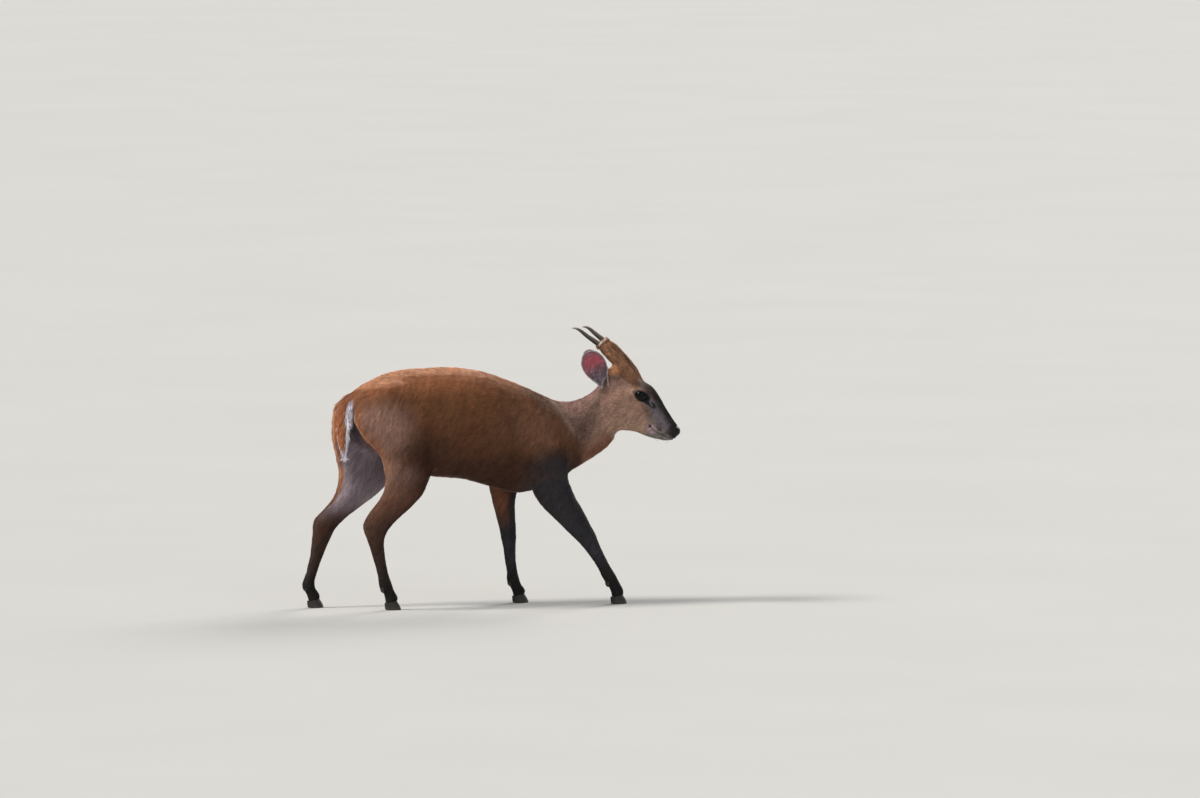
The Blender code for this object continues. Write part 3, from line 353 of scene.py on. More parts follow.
class Skin:
    """The skin's mesh with, for each point, its place, facing and solid."""

    def __init__(self, mesh):
        self.mesh = mesh
        count = len(mesh.vertices)
        points = np.empty(count * 3)
        mesh.vertices.foreach_get("co", points)
        self.points = unmagnified(points.reshape(-1, 3))
        edges = np.empty(len(mesh.edges) * 2, np.int64)
        mesh.edges.foreach_get("vertices", edges)
        self.edges = edges.reshape(-1, 2)
        mesh.calc_loop_triangles()
        tris = np.empty(len(mesh.loop_triangles) * 3, np.int64)
        mesh.loop_triangles.foreach_get("vertices", tris)
        self.triangles = tris.reshape(-1, 3)
        loops = np.empty(len(mesh.loop_triangles) * 3, np.int64)
        mesh.loop_triangles.foreach_get("loops", loops)
        self.loops = loops.reshape(-1, 3)
        self.solid = self.nearest_solid()
        self.face_out()

    def face_out(self):
        self.normals = point_normals(self.points, self.triangles)
        self.head = moved(self.points, HEAD_FRAME.inverted())
        self.head_normals = turned(self.normals, HEAD_FRAME.inverted())

    def nearest_solid(self):
        """For each point, which of FLESH it came from."""
        corners, faces, owner = [], [], []
        for k, name in enumerate(FLESH):
            mesh = NODES[name].data
            mesh.calc_loop_triangles()
            start = len(corners)
            corners += [v.co.copy() for v in mesh.vertices]
            faces += [tuple(start + i for i in t.vertices) for t in mesh.loop_triangles]
            owner += [k] * len(mesh.loop_triangles)
        tree = BVHTree.FromPolygons(corners, faces)
        row = self.points + SHIFT
        return np.array([owner[tree.find_nearest(Vector(p))[2]] for p in row])

    def is_from(self, *names):
        return np.isin(self.solid, [FLESH.index(name) for name in names]).astype(float)

    def spread(self, values, rounds=12):
        return relaxed(values, self.edges, 0.5, rounds)

    def push(self, amounts):
        self.points = self.points + self.normals * amounts[:, None]
        self.face_out()

    def smooth(self, weights, rounds):
        self.points = relaxed(self.points, self.edges, weights, rounds)
        self.face_out()

    def store(self):
        self.mesh.vertices.foreach_set("co", (self.points + SHIFT).astype(np.float32).ravel())
        self.mesh.polygons.foreach_set("use_smooth", np.ones(len(self.mesh.polygons), bool))
        self.mesh.update()


# Ridges (+) and hollows (-) of the skin: from, to, half width, height. The first list is in the plan and
# given for the right side, then how far it lies behind on the left; the second is in the head's frame.
TRUNK_FORMS = (
    ((0.078, -0.088, 0.480), (0.086, -0.080, 0.350), 0.017, -0.0030, 0.015),
    ((0.118, -0.070, 0.525), (0.172, -0.072, 0.410), 0.013, 0.0016, 0.010),
    ((0.150, -0.075, 0.505), (0.182, -0.070, 0.420), 0.011, -0.0012, 0.010),
    ((0.100, -0.080, 0.430), (0.110, -0.080, 0.350), 0.018, 0.0022, 0.030),
    ((0.186, -0.056, 0.498), (0.238, -0.060, 0.420), 0.0065, -0.0030, 0.0),
    ((0.200, -0.056, 0.500), (0.252, -0.058, 0.430), 0.0070, 0.0014, 0.0),
    ((0.238, -0.060, 0.420), (0.262, -0.030, 0.360), 0.0080, -0.0018, 0.0),
    ((-0.128, -0.088, 0.352), (-0.150, -0.096, 0.470), 0.015, -0.0030, 0.020),
    ((-0.160, -0.094, 0.480), (-0.168, -0.094, 0.370), 0.018, 0.0024, 0.030),
    ((-0.300, -0.060, 0.480), (-0.268, -0.078, 0.370), 0.010, -0.0018, 0.060),
    ((-0.230, -0.080, 0.555), (-0.275, -0.074, 0.520), 0.014, 0.0022, 0.0),
    ((-0.170, -0.075, 0.560), (-0.210, -0.080, 0.540), 0.016, -0.0016, 0.0),
    ((-0.040, -0.104, 0.470), (-0.075, -0.102, 0.380), 0.008, 0.0007, 0.0),
    ((-0.012, -0.104, 0.470), (-0.048, -0.102, 0.370), 0.008, 0.0008, 0.0),
    ((0.018, -0.104, 0.465), (-0.020, -0.100, 0.360), 0.008, 0.0008, 0.0),
    ((-0.220, -0.092, 0.380), (-0.262, -0.086, 0.300), 0.011, 0.0016, 0.060),
)
HEAD_FORMS = (
    ((0.030, 0.046, 0.020), (0.058, 0.036, -0.020), 0.010, 0.0016),
    ((0.066, 0.040, 0.020), (0.085, 0.030, -0.014), 0.009, -0.0016),
    ((0.085, 0.036, 0.030), (0.150, 0.022, 0.010), 0.006, 0.0009),
    ((0.100, 0.026, 0.068), (0.150, 0.016, 0.044), 0.006, -0.0012),
    ((0.060, 0.028, 0.082), (0.082, 0.026, 0.078), 0.007, 0.0014),
    ((0.092, 0.034, 0.0495), (0.112, 0.028, 0.0500), 0.0028, 0.0014),
    ((0.092, 0.033, 0.0610), (0.110, 0.027, 0.0600), 0.0026, 0.0010),
    ((0.052, 0.046, 0.046), (0.088, 0.040, 0.045), 0.0032, -0.0010),
    ((0.172, 0.016, 0.012), (0.192, 0.012, 0.014), 0.0045, 0.0010),
    ((0.184, 0.012, 0.032), (0.192, 0.010, 0.024), 0.0060, 0.0012),
    ((0.140, 0.021, 0.012), (0.165, 0.018, 0.012), 0.0050, 0.0008),
    ((0.050, 0.040, 0.077), (0.080, 0.037, 0.079), 0.0045, 0.0014),
    ((0.098, 0.031, 0.0555), (0.104, 0.029, 0.0555), 0.0040, 0.0015),
)


def shape_skin(skin):
    """Takes the coat's depth off, clears the ends of the pedicles and works in muscles and folds."""
    head = skin.is_from("head")
    skin.smooth(0.30 * (1 - head) + 0.16, 6)
    for side in SIDES.values():
        clear_pedicle(skin, side)
    depth = skin.spread(coat_depth(skin), 20)
    for side in (-1, 1):
        depth *= 1 - near(skin.head, np.array(EYE_CENTRE) * (1, side, 1), 0.030)
    skin.push(-depth)
    push = np.zeros(len(skin.points))
    for side in (-1, 1):
        for start, end, width, height, behind in TRUNK_FORMS:
            back = behind if side > 0 else 0.0
            ends = [(x - back, -side * y, z) for x, y, z in (start, end)]
            push += height * np.exp(-((from_line(skin.points, *ends) / width) ** 2)) * (1 - head)
        for start, end, width, height in HEAD_FORMS:
            ends = [(x, side * y, z) for x, y, z in (start, end)]
            push += height * np.exp(-((from_line(skin.head, *ends) / width) ** 2)) * head
    for side in SIDES.values():
        skin.smooth(0.5 * np.clip(1.6 * near(skin.head, (0.103, side * 0.030, 0.0555), 0.014), 0, 1), 14)
    push -= 0.0012 * lip_line(skin.head)
    push += 0.0005 * noise(skin.points, 0.022, 5) * (1 - head)
    skin.push(push)
    skin.smooth(0.15, 2)
    skin.store()


def clear_pedicle(skin, side):
    """Draws the ends of the pedicles in under the burr, so that only hair stands round it."""
    matrix = antler_matrix(side)
    local = moved(skin.points, matrix.inverted())
    away = np.hypot(local[:, 1], local[:, 2])
    close = (away < 0.028) & (local[:, 0] > -0.026) & (local[:, 0] < 0.030) & (skin.is_from("head") > 0)
    limit = 0.0138 - 0.0032 * ramp(-0.022, 0.0, local[:, 0])
    scale = np.where(close & (away > limit), limit / np.maximum(away, 1e-9), 1.0)
    local[:, 1] *= scale
    local[:, 2] *= scale
    local[:, 0] = np.where(close, np.minimum(local[:, 0], 0.0004), local[:, 0])
    skin.points = moved(local, matrix)
    skin.smooth(0.4 * close, 8)


def lip_line(head):
    """1 on the line between the lips, 0 away from it."""
    x, z = np.array(LIPS).T
    height = np.interp(head[:, 0], x, z)
    return np.exp(-(((head[:, 2] - height) / 0.0016) ** 2)) * ramp(0.1300, 0.1360, head[:, 0])


def across_tail(points):
    """How far each point lies from the tail's middle towards its right edge, and how far behind it."""
    z = points[:, 2]
    x, y, turn = (np.interp(z, TAIL_Z, values) for values in (TAIL_X, TAIL_Y, TAIL_TURN))
    x, y, turn = points[:, 0] - x, points[:, 1] - y, np.radians(turn)
    return x * np.sin(turn) - y * np.cos(turn), -x * np.cos(turn) - y * np.sin(turn)


def coat_depth(skin):
    """How far the hair stands out from the skin, from solid to solid."""
    z, x = skin.points[:, 2], skin.head[:, 0]
    depth = 0.0034 * skin.is_from("torso", "neck")
    depth += 0.0068 * skin.is_from("tail")
    depth += 0.0004 * skin.is_from("ear_right", "ear_left")
    depth += (0.0016 + 0.0018 * ramp(0.20, 0.36, z)) * skin.is_from(*UPPERS)
    depth += 0.0013 * skin.is_from(*LOWERS)
    face = 0.0026 - 0.0015 * ramp(0.055, 0.120, x) - 0.0009 * ramp(0.165, 0.185, x)
    depth += face * skin.is_from("head")
    return depth


# The lie, length and colour of the coat


def leg_axis(name):
    """The way down a leg's solid, from the middle of its upper end to the middle of its lower end."""
    mesh = NODES[name].data
    points = np.empty(len(mesh.vertices) * 3)
    mesh.vertices.foreach_get("co", points)
    points = points.reshape(-1, 3)
    height = points[:, 2]
    top = points[height > np.quantile(height, 0.8)].mean(axis=0)
    low = points[height < np.quantile(height, 0.2)].mean(axis=0)
    return unit(low - top)


def coat_lie(skin):
    """The way the hair points at each point of the skin, as a unit vector along the surface."""
    points, normals, head = skin.points, skin.normals, skin.head
    x, z = points[:, 0], points[:, 2]
    flank = np.abs(normals[:, 1])
    lie = np.zeros((len(points), 3))
    trunk = np.stack([np.full(len(x), -1.0), np.zeros(len(x)), -0.10 - 0.40 * flank], axis=1)
    haunch = ramp(-0.10, -0.27, x) * ramp(0.60, 0.50, z)
    trunk = mix(trunk, (-0.50, 0.0, -1.0), 0.85 * haunch)
    shoulder = ramp(0.07, 0.16, x) * ramp(0.55, 0.38, z)
    trunk = mix(trunk, (-0.45, 0.0, -1.0), 0.8 * shoulder)
    lie += trunk * skin.is_from("torso")[:, None]
    lie += np.array((-0.85, 0.10, -0.60)) * skin.is_from("neck")[:, None]
    for name in UPPERS + LOWERS:
        lie += leg_axis(name) * skin.is_from(name)[:, None]
    tail = np.stack([np.full(len(x), -0.15), np.zeros(len(x)), np.full(len(x), -1.0)], axis=1)
    across = across_tail(points)[0]
    tail = mix(tail, (0.20, -0.42, -1.0), ramp(0.008, 0.020, across) * ramp(0.365, 0.390, z))
    tail = mix(tail, (-0.9, 0.0, -0.5), ramp(0.49, 0.53, z) * ramp(0.018, 0.010, across))
    lie += tail * skin.is_from("tail")[:, None]
    on_head = np.stack([np.full(len(x), -1.0), np.zeros(len(x)), np.full(len(x), -0.08)], axis=1)
    on_head = mix(on_head, (-1.0, 0.0, -0.45), ramp(0.040, 0.010, head[:, 2]))
    on_head = mix(on_head, (-0.95, 0.0, 0.30), ramp(0.070, 0.086, head[:, 2]))
    chin = ramp(0.165, 0.190, head[:, 0]) * ramp(0.016, 0.006, head[:, 2])
    on_head = mix(on_head, (-0.30, 0.0, -1.0), chin)
    lie += turned(on_head, HEAD_FRAME) * skin.is_from("head")[:, None]
    for word, side in SIDES.items():
        root, tip = (np.array((v[0], side * v[1], v[2])) for v in EARS[word][:2])
        lie += turned(unit(tip - root), HEAD_FRAME) * skin.is_from("ear_" + word)[:, None]
    for _ in range(2):
        lie = lie - normals * np.sum(lie * normals, axis=1, keepdims=True)
        lie = skin.spread(unit(lie), 14)
    sway = 0.22 * noise(points, 0.030, 11) + 0.14 * noise(points, 0.011, 12)
    lie = unit(lie - normals * np.sum(lie * normals, axis=1, keepdims=True))
    return unit(lie + np.cross(normals, lie) * sway[:, None])


def ear_inside(skin):
    """1 inside the cups of the ears, 0 outside and elsewhere."""
    inside = np.zeros(len(skin.points))
    for word, side in SIDES.items():
        root, tip, opening = (np.array((v[0], side * v[1], v[2])) for v in EARS[word])
        axis = unit(tip - root)
        opening = unit(opening - axis * (opening @ axis))
        inside += ramp(-0.05, 0.25, skin.head_normals @ opening) * skin.is_from("ear_" + word)
    return inside


def ear_rims(skin):
    """The white edge of the ears, and the dark line that runs inside it."""
    inside = ear_inside(skin)
    close = skin.spread(inside, 14)
    ears = skin.is_from("ear_right", "ear_left")
    rim = ramp(0.30, 0.42, close) * ramp(0.92, 0.86, close) * ears
    return rim, inside * ramp(0.992, 0.950, close) * (1 - rim) * ears


def ear_share(skin, word):
    """How far up the ear each point lies."""
    root, tip = (np.array((v[0], SIDES[word] * v[1], v[2])) for v in EARS[word][:2])
    axis = tip - root
    return (skin.head - root) @ axis / (axis @ axis)


def bare_skin(skin):
    """1 where no hair grows: nose pad, lids, glands, the line of the lips."""
    on_head = skin.is_from("head")
    x, y, z = ((skin.head - np.array(NOSE)) / NOSE_REACH).T
    bare = (x * x + y * y + z * z < 1).astype(float)
    bare = np.maximum(bare, lip_line(skin.head) > 0.5)
    for side in (-1, 1):
        eye = moved(skin.points, eye_matrix(side).inverted())
        long, high = EYE_SLIT_LENGTH / 2 + 0.0036, EYE_SLIT_HEIGHT / 2 + 0.0032
        reach = np.hypot(eye[:, 0] / long, eye[:, 2] / high)
        bare = np.maximum(bare, (reach < 1) & (eye[:, 1] > 0))
        gland = from_line(skin.head, (0.0930, side * 0.0330, 0.0565), (0.1090, side * 0.0285, 0.0540))
        bare = np.maximum(bare, gland < 0.0024)
    return skin.spread(bare * on_head, 2)


# Colours of the coat as light reflects them, from 0 to 1
ORANGE = (0.400, 0.158, 0.072)
CHESTNUT = (0.215, 0.088, 0.038)
BROWN = (0.160, 0.064, 0.029)
DEEP = (0.060, 0.026, 0.016)
RUST = (0.330, 0.125, 0.055)
ROAN = (0.375, 0.215, 0.165)
GRIZZLE = (0.196, 0.118, 0.091)
TAN = (0.485, 0.292, 0.218)
PALE = (0.600, 0.430, 0.320)
SOOT = (0.026, 0.023, 0.024)
SMOKE = (0.235, 0.195, 0.215)
SPECKLE = (0.260, 0.200, 0.178)
WHITE = (0.720, 0.690, 0.670)
MAUVE = (0.410, 0.335, 0.375)
CLEFT_SHADE = (0.105, 0.082, 0.098)
TAIL_WHITE = (0.800, 0.770, 0.850)
DARK_LEG = (0.052, 0.029, 0.020)
BLACK_LEG = (0.020, 0.016, 0.015)
ARM_DARK = (0.040, 0.037, 0.042)
THROAT = (0.290, 0.112, 0.052)
FOREHEAD = (0.120, 0.060, 0.036)
NOSE_SKIN = (0.006, 0.006, 0.007)
EAR_RED = (0.760, 0.085, 0.105)
EAR_PINK = (0.500, 0.190, 0.230)
EAR_DARK = (0.180, 0.115, 0.145)
EAR_BACK = (0.200, 0.115, 0.075)


def coat_colour(skin):
    """The markings of the skin and of the hair on it, with painted light and shade over them: lighter on top,
    darker low down and in folds and clefts.
    """
    x, y, z = skin.points.T
    up = skin.normals[:, 2]
    flat = skin.points * (1, 0, 1)
    colour = np.tile(BROWN, (len(x), 1))
    # Lighter and more orange towards the top of the trunk and on upward-facing skin: painted light from
    # above, over the coat's own chestnut and orange
    colour = mix(colour, CHESTNUT, ramp(0.42, 0.52, z + 0.04 * up))
    colour = mix(colour, ORANGE, ramp(0.525, 0.585, z + 0.04 * up + 0.008 * noise(skin.points, 0.030, 23)))
    # Painted highlight along the top of the back, where light from above falls on the upward-facing coat
    crest = ramp(0.70, 0.97, up) * ramp(0.50, 0.56, z)
    colour = mix(colour, (0.820, 0.450, 0.270), 0.85 * crest)
    # Painted shade: darker low on the flank and belly, towards the hind legs
    colour = mix(colour, DEEP, 0.85 * ramp(0.42, 0.34, z) * ramp(-0.20, -0.04, x))
    colour = mix(colour, (0.250, 0.122, 0.072), 0.85 * near(flat, (0.150, 0.0, 0.450), 0.115))
    colour = mix(colour, (0.235, 0.115, 0.070), 0.35 * near(flat, (0.050, 0.0, 0.450), 0.080))
    haunch = near(flat, (-0.270, 0.0, 0.450), 0.120)
    colour = mix(colour, ROAN, np.clip(1.1 * haunch, 0, 0.8) * ramp(0.56, 0.48, z))
    # Painted shade in the fold where the thigh meets the belly
    colour = mix(colour, DEEP, 0.85 * near(flat, (-0.160, 0.0, 0.365), 0.110))
    for word in (-1, 1):
        arm = near(skin.points, (0.180 + 0.012 * word, word * 0.060, 0.335), 0.085)
        colour = mix(colour, ARM_DARK, np.clip(1.3 * arm, 0, 0.9))
    colour = paint_rump(skin, colour)
    under = ramp(-0.90, -0.98, up) * ramp(0.055, 0.020, np.abs(y)) * skin.is_from("torso")
    colour = mix(colour, TAN, 0.45 * under * ramp(0.14, 0.05, x))
    colour = mix(colour, WHITE, 0.65 * under * ramp(-0.10, -0.18, x))
    colour = paint_neck(skin, colour)
    colour = paint_legs(skin, colour)
    colour = paint_tail(skin, colour)
    colour = paint_head(skin, colour)
    return paint_ears(skin, colour)


def paint_rump(skin, colour):
    """Orange buttocks with a painted highlight along their outer rims, violet grey inside the thighs, and
    painted shade between the buttocks and the hind legs.
    """
    x, y, z = skin.points.T
    behind, outward = -skin.normals[:, 0], np.sign(y) * skin.normals[:, 1]
    body = skin.is_from("torso", *UPPERS) * ramp(-0.20, -0.27, x)
    rear = ramp(0.35, 0.80, behind) * body * ramp(0.22, 0.30, z)
    colour = mix(colour, RUST, 0.85 * rear)
    colour = mix(colour, ORANGE, 0.80 * rear * ramp(-0.010, 0.010, y) * ramp(0.26, 0.34, z))
    # Painted highlight: pale rims where the buttocks turn back and light from behind catches them
    rim = np.where(y > 0, ramp(0.80, 0.93, behind), ramp(0.60, 0.90, behind) * ramp(0.30, 0.12, outward))
    rim *= body * ramp(0.28, 0.34, z) * ramp(0.035, 0.045, np.abs(y))
    colour = mix(colour, (0.800, 0.430, 0.260), 0.75 * rim)
    inner = ramp(0.25, 0.60, -outward) * ramp(0.20, 0.26, z) * ramp(-0.10, -0.20, x)
    inner *= ramp(0.72, 0.56, behind) * skin.is_from("torso", *UPPERS)
    colour = mix(colour, MAUVE, 0.90 * inner)
    # Between the hind legs: the mauve grey of the inner thighs, darkened as painted shade
    crotch = ramp(0.056, 0.042, np.abs(y)) * ramp(0.440, 0.415, z) * ramp(0.25, 0.29, z)
    crotch *= ramp(-0.18, -0.22, x) * ramp(0.72, 0.56, behind)
    colour = mix(colour, (0.260, 0.205, 0.230), 0.90 * crotch)
    # Painted shade: a dark violet wedge in the cleft between the tail, the buttock and the near thigh
    edge = np.interp(z, (0.39, 0.44, 0.50), (0.048, 0.034, 0.012))
    cleft = rear * ramp(0.515, 0.490, z) * ramp(0.042, 0.034, -y) * ramp(0.004, -0.004, y - edge)
    colour = mix(colour, CLEFT_SHADE, 0.95 * cleft)
    root = near(skin.points, (-0.330, -0.010, 0.505), 0.024)
    colour = mix(colour, TAIL_WHITE, np.clip(1.3 * root, 0, 0.8) * rear)
    crown = near(skin.points, (-0.338, 0.022, 0.512), 0.026)
    return mix(colour, PALE, np.clip(1.1 * crown, 0, 0.60) * ramp(0.3, 0.6, behind))


def paint_neck(skin, colour):
    x, y, z = skin.points.T
    # Ahead of this slanting line the grizzled coat of the neck begins
    line = 0.178 + (0.500 - z) * 0.62
    ahead = ramp(-0.026, 0.026, x - line + 0.008 * noise(skin.points, 0.012, 21))
    body = skin.is_from("torso", "neck", "head")
    ahead *= body
    colour = mix(colour, GRIZZLE, ahead)
    colour = mix(colour, TAN, 0.8 * ahead * ramp(0.262, 0.312, x - 0.4 * (z - 0.45)))
    # Painted highlight: paler where the coat of the neck faces upward to the light
    colour = mix(colour, (0.540, 0.330, 0.275), 0.7 * ahead * ramp(0.1, 0.8, skin.normals[:, 2]))
    throat = ahead * ramp(0.415, 0.350, z - 0.5 * (x - 0.25))
    colour = mix(colour, THROAT, 0.9 * throat)
    crest = np.exp(-(((x - line - 0.004) / 0.006) ** 2)) * body * ramp(0.40, 0.46, z)
    return mix(colour, PALE, 0.40 * crest)


def paint_legs(skin, colour):
    x, y, z = skin.points.T
    legs = skin.spread(skin.is_from(*UPPERS, *LOWERS), 90)
    fore = legs * (x > -0.02) * (x < 0.40)
    hind = legs * (x <= -0.02)
    ahead = ramp(-0.2, 0.6, skin.normals[:, 0])
    outside = ramp(-0.1, 0.5, np.sign(y) * skin.normals[:, 1])
    colour = mix(colour, RUST, 0.75 * fore * (1 - ahead) * (1 - 0.8 * outside))
    colour = mix(colour, ARM_DARK, fore * ramp(0.360, 0.300, z) * np.clip(ahead + outside, 0.25, 0.95))
    colour = mix(colour, ARM_DARK, fore * ramp(0.250, 0.170, z))
    inward = ramp(0.25, 0.60, -np.sign(y) * skin.normals[:, 1])
    colour = mix(colour, ROAN, 0.60 * hind * ramp(0.42, 0.36, z) * (1 - ahead) * (1 - inward))
    colour = mix(colour, DEEP, 0.85 * hind * ramp(0.38, 0.29, z) * np.clip(ahead + 0.35, 0, 1) * (1 - inward))
    heel = hind * (1 - ahead) * (1 - inward)
    colour = mix(colour, (0.185, 0.078, 0.044), 0.75 * heel * ramp(0.33, 0.27, z))
    colour = mix(colour, DARK_LEG, hind * ramp(0.290, 0.200, z) * (0.65 + 0.33 * ahead))
    colour = mix(colour, DARK_LEG, hind * ramp(0.200, 0.140, z))
    return mix(colour, BLACK_LEG, legs * ramp(0.130, 0.050, z))


def paint_tail(skin, colour):
    x, y, z = skin.points.T
    tail = skin.is_from("tail")
    across, out = across_tail(skin.points)
    turn = np.radians(np.interp(z, TAIL_Z, TAIL_TURN))
    back = -skin.normals[:, 0] * np.cos(turn) - skin.normals[:, 1] * np.sin(turn)
    behind = ramp(-0.15, 0.25, back + 0.3 * skin.normals[:, 2] - 0.4 * ramp(0.008, 0.020, across))
    ragged = across + 0.0015 * noise(skin.points, 0.006, 24)
    right = np.interp(z, (0.378, 0.420, 0.500), (-0.001, 0.0115, 0.0140))
    left = np.interp(z, (0.378, 0.410, 0.440), (-0.001, -0.0150, -0.0300))
    middle = ramp(0.0015, -0.0015, ragged - right) * ramp(-0.0015, 0.0015, ragged - left)
    colour = mix(colour, TAIL_WHITE, tail)
    stripe = middle * behind * ramp(0.376, 0.386, z)
    colour = mix(colour, (0.420, 0.155, 0.068), tail * stripe)
    colour = mix(colour, DEEP, 0.6 * tail * stripe * ramp(-0.0060, -0.0005, ragged - right))
    return mix(colour, ORANGE, tail * ramp(0.505, 0.522, z) * 0.9)


# Lower edge of the dark face in the head's frame, from the eye to the nose
MASK_X = (0.060, 0.085, 0.104, 0.126, 0.150, 0.175, 0.195)
MASK_Z = (0.074, 0.055, 0.045, 0.031, 0.022, 0.015, 0.010)


def paint_head(skin, colour):
    x, y, z = skin.head.T
    head = skin.is_from("head")
    wide = np.abs(y)
    colour = mix(colour, TAN, head * ramp(-0.020, 0.010, x) * ramp(0.078, 0.050, z))
    colour = mix(colour, PALE, 0.30 * head * ramp(0.020, -0.020, z) * ramp(0.02, 0.06, x))
    brow = head * ramp(0.062, 0.074, z - 0.10 * (0.071 - x))
    colour = mix(colour, (0.300, 0.150, 0.085), brow * ramp(0.085, 0.070, x))
    forehead = ramp(0.037, 0.027, wide) * ramp(0.066, 0.077, z) * ramp(0.100, 0.082, x)
    colour = mix(colour, FOREHEAD, 0.95 * head * forehead)
    for side in (-1, 1):
        colour = paint_pedicle(skin, side, colour)
    # The dark face begins at the brows, and under it the muzzle is speckled
    below = x + 0.9 * (z - 0.02) + 0.004 * noise(skin.head, 0.008, 31)
    colour = mix(colour, SPECKLE, head * ramp(0.095, 0.135, below))
    edge = z - np.interp(x, MASK_X, MASK_Z) + 0.003 * noise(skin.head, 0.007, 32)
    dark = ramp(-0.006, 0.007, edge) * ramp(0.058, 0.078, x + 0.3 * (z - 0.08))
    colour = mix(colour, SMOKE, head * dark)
    colour = mix(colour, SOOT, 0.80 * head * dark * ramp(0.016, 0.031, edge + 0.08 * (x - 0.10)))
    top = dark * ramp(0.064, 0.076, z + 0.25 * (x - 0.085)) * ramp(0.125, 0.100, x)
    colour = mix(colour, (0.085, 0.046, 0.032), 0.92 * head * top)
    profile = ramp(0.019, 0.012, wide + 0.10 * (x - 0.10)) * ramp(0.030, 0.044, z + 0.30 * (x - 0.12))
    colour = mix(colour, SOOT, 0.90 * head * profile * ramp(0.070, 0.090, x))
    streak = from_line(skin.head * (1, 0, 1), (0.090, 0.0, 0.044), (0.112, 0.0, 0.030))
    colour = mix(colour, (0.260, 0.110, 0.060), 0.6 * head * ramp(0.008, 0.002, streak) * (wide > 0.01))
    ring = np.zeros(len(x))
    lining = np.zeros(len(x))
    for side in (-1, 1):
        eye = moved(skin.points, eye_matrix(side).inverted())
        reach = np.hypot((eye[:, 0] - 0.003) / 0.0225, eye[:, 2] / 0.0108)
        ring = np.maximum(ring, ramp(1.12, 0.92, reach) * (eye[:, 1] > -0.004))
        gland = from_line(skin.head, (0.0860, side * 0.036, 0.0560), (0.1140, side * 0.0270, 0.0545))
        ring = np.maximum(ring, ramp(0.0070, 0.0045, gland))
        flat = skin.head * (1, 0, 1)
        for start, end in (((0.1000, 0.0590), (0.1035, 0.0545)), ((0.1035, 0.0545), (0.1095, 0.0535))):
            rim = from_line(flat, (start[0], 0, start[1]), (end[0], 0, end[1]))
            lining = np.maximum(lining, ramp(0.0023, 0.0010, rim) * (side * y > 0.015))
        lid = from_line(skin.head, (0.055, side * 0.043, 0.0760), (0.074, side * 0.040, 0.0790))
        colour = mix(colour, (0.420, 0.215, 0.150), 0.75 * head * ramp(0.0060, 0.0020, lid))
    colour = mix(colour, SOOT, 0.95 * head * ring)
    colour = mix(colour, (0.480, 0.430, 0.440), 0.92 * head * lining)
    return paint_mouth(skin, colour)


def paint_pedicle(skin, side, colour):
    """Brown grizzled stem, black along its front, orange and cream round the burr and behind its root."""
    head, z = skin.is_from("head"), skin.head[:, 2]
    root = (PEDICLE_ROOT[0] + 0.045, side * 0.020, 0.076)
    end = (PEDICLE_END[0], side * PEDICLE_END[1], PEDICLE_END[2])
    stem = head * ramp(0.024, 0.019, from_line(skin.head, root, end))
    colour = mix(colour, (0.330, 0.165, 0.095), stem * ramp(0.074, 0.082, z))
    flecks = ramp(0.0, 0.7, noise(skin.head, (0.009, 0.0022, 0.0022), 35))
    colour = mix(colour, (0.740, 0.390, 0.205), 0.75 * stem * flecks * ramp(0.080, 0.096, z))
    edge = from_line(skin.head, (0.082, side * 0.006, 0.084), (PEDICLE_END[0] + 0.02, side * 0.018, 0.126))
    colour = mix(colour, SOOT, 0.92 * head * ramp(0.0125, 0.0065, edge))
    tuft = near(skin.head, end, 0.034) * ramp(0.094, 0.106, z)
    strands = noise(skin.head, (0.006, 0.002, 0.002), 36)
    warm = mix(np.tile(ORANGE, (len(z), 1)), PALE, ramp(-0.1, 0.8, strands))
    colour = colour + (warm - colour) * (np.clip(1.4 * tuft, 0, 0.9) * head)[:, None]
    behind = near(skin.head, (-0.014, side * 0.038, 0.077), 0.019)
    return mix(colour, (0.660, 0.310, 0.150), np.clip(1.6 * behind, 0, 0.95) * head)


def paint_mouth(skin, colour):
    """Pale speckled lips and chin, a pinkish corner with dark spots, and the black nose."""
    x, y, z = skin.head.T
    head = skin.is_from("head")
    wide = np.abs(y)
    lips = np.interp(x, *np.array(LIPS).T)
    spots = ramp(0.15, 0.75, noise(skin.head, 0.0026, 33))
    below = ramp(0.0020, -0.0010, z - lips) * ramp(0.120, 0.145, x)
    colour = mix(colour, (0.320, 0.288, 0.270), 0.85 * head * below)
    upper = ramp(0.0090, 0.0030, z - lips) * ramp(0.0, 0.0010, z - lips) * ramp(0.140, 0.152, x)
    colour = mix(colour, (0.330, 0.260, 0.250), 0.70 * head * upper * ramp(0.188, 0.178, x))
    corner = near(skin.head * (1, 0, 1), (0.1390, 0.0, 0.0030), 0.016)
    colour = mix(colour, (0.680, 0.480, 0.500), np.clip(1.7 * corner, 0, 0.92) * head)
    speckled = np.clip(1.3 * near(skin.head * (1, 0, 1), (0.148, 0.0, 0.006), 0.034), 0, 1)
    colour = mix(colour, SOOT, 0.75 * head * speckled * spots)
    pit = near(skin.head * (1, 0, 1), (0.1315, 0.0, 0.0085), 0.0050)
    colour = mix(colour, SOOT, np.clip(2.2 * pit, 0, 0.95) * head * (wide > 0.012))
    muzzle = ramp(0.164, 0.180, x + 0.25 * (z - 0.02)) * ramp(0.008, 0.018, z)
    colour = mix(colour, SOOT, 0.9 * head * muzzle)
    bare = bare_skin(skin)
    nose = bare * ramp(0.150, 0.165, x) * ramp(0.004, 0.010, z)
    colour = mix(colour, NOSE_SKIN, nose)
    colour = mix(colour, NOSE_SKIN, bare * (wide > 0.020) * (x < 0.092))
    return mix(colour, NOSE_SKIN, 0.95 * head * lip_line(skin.head))


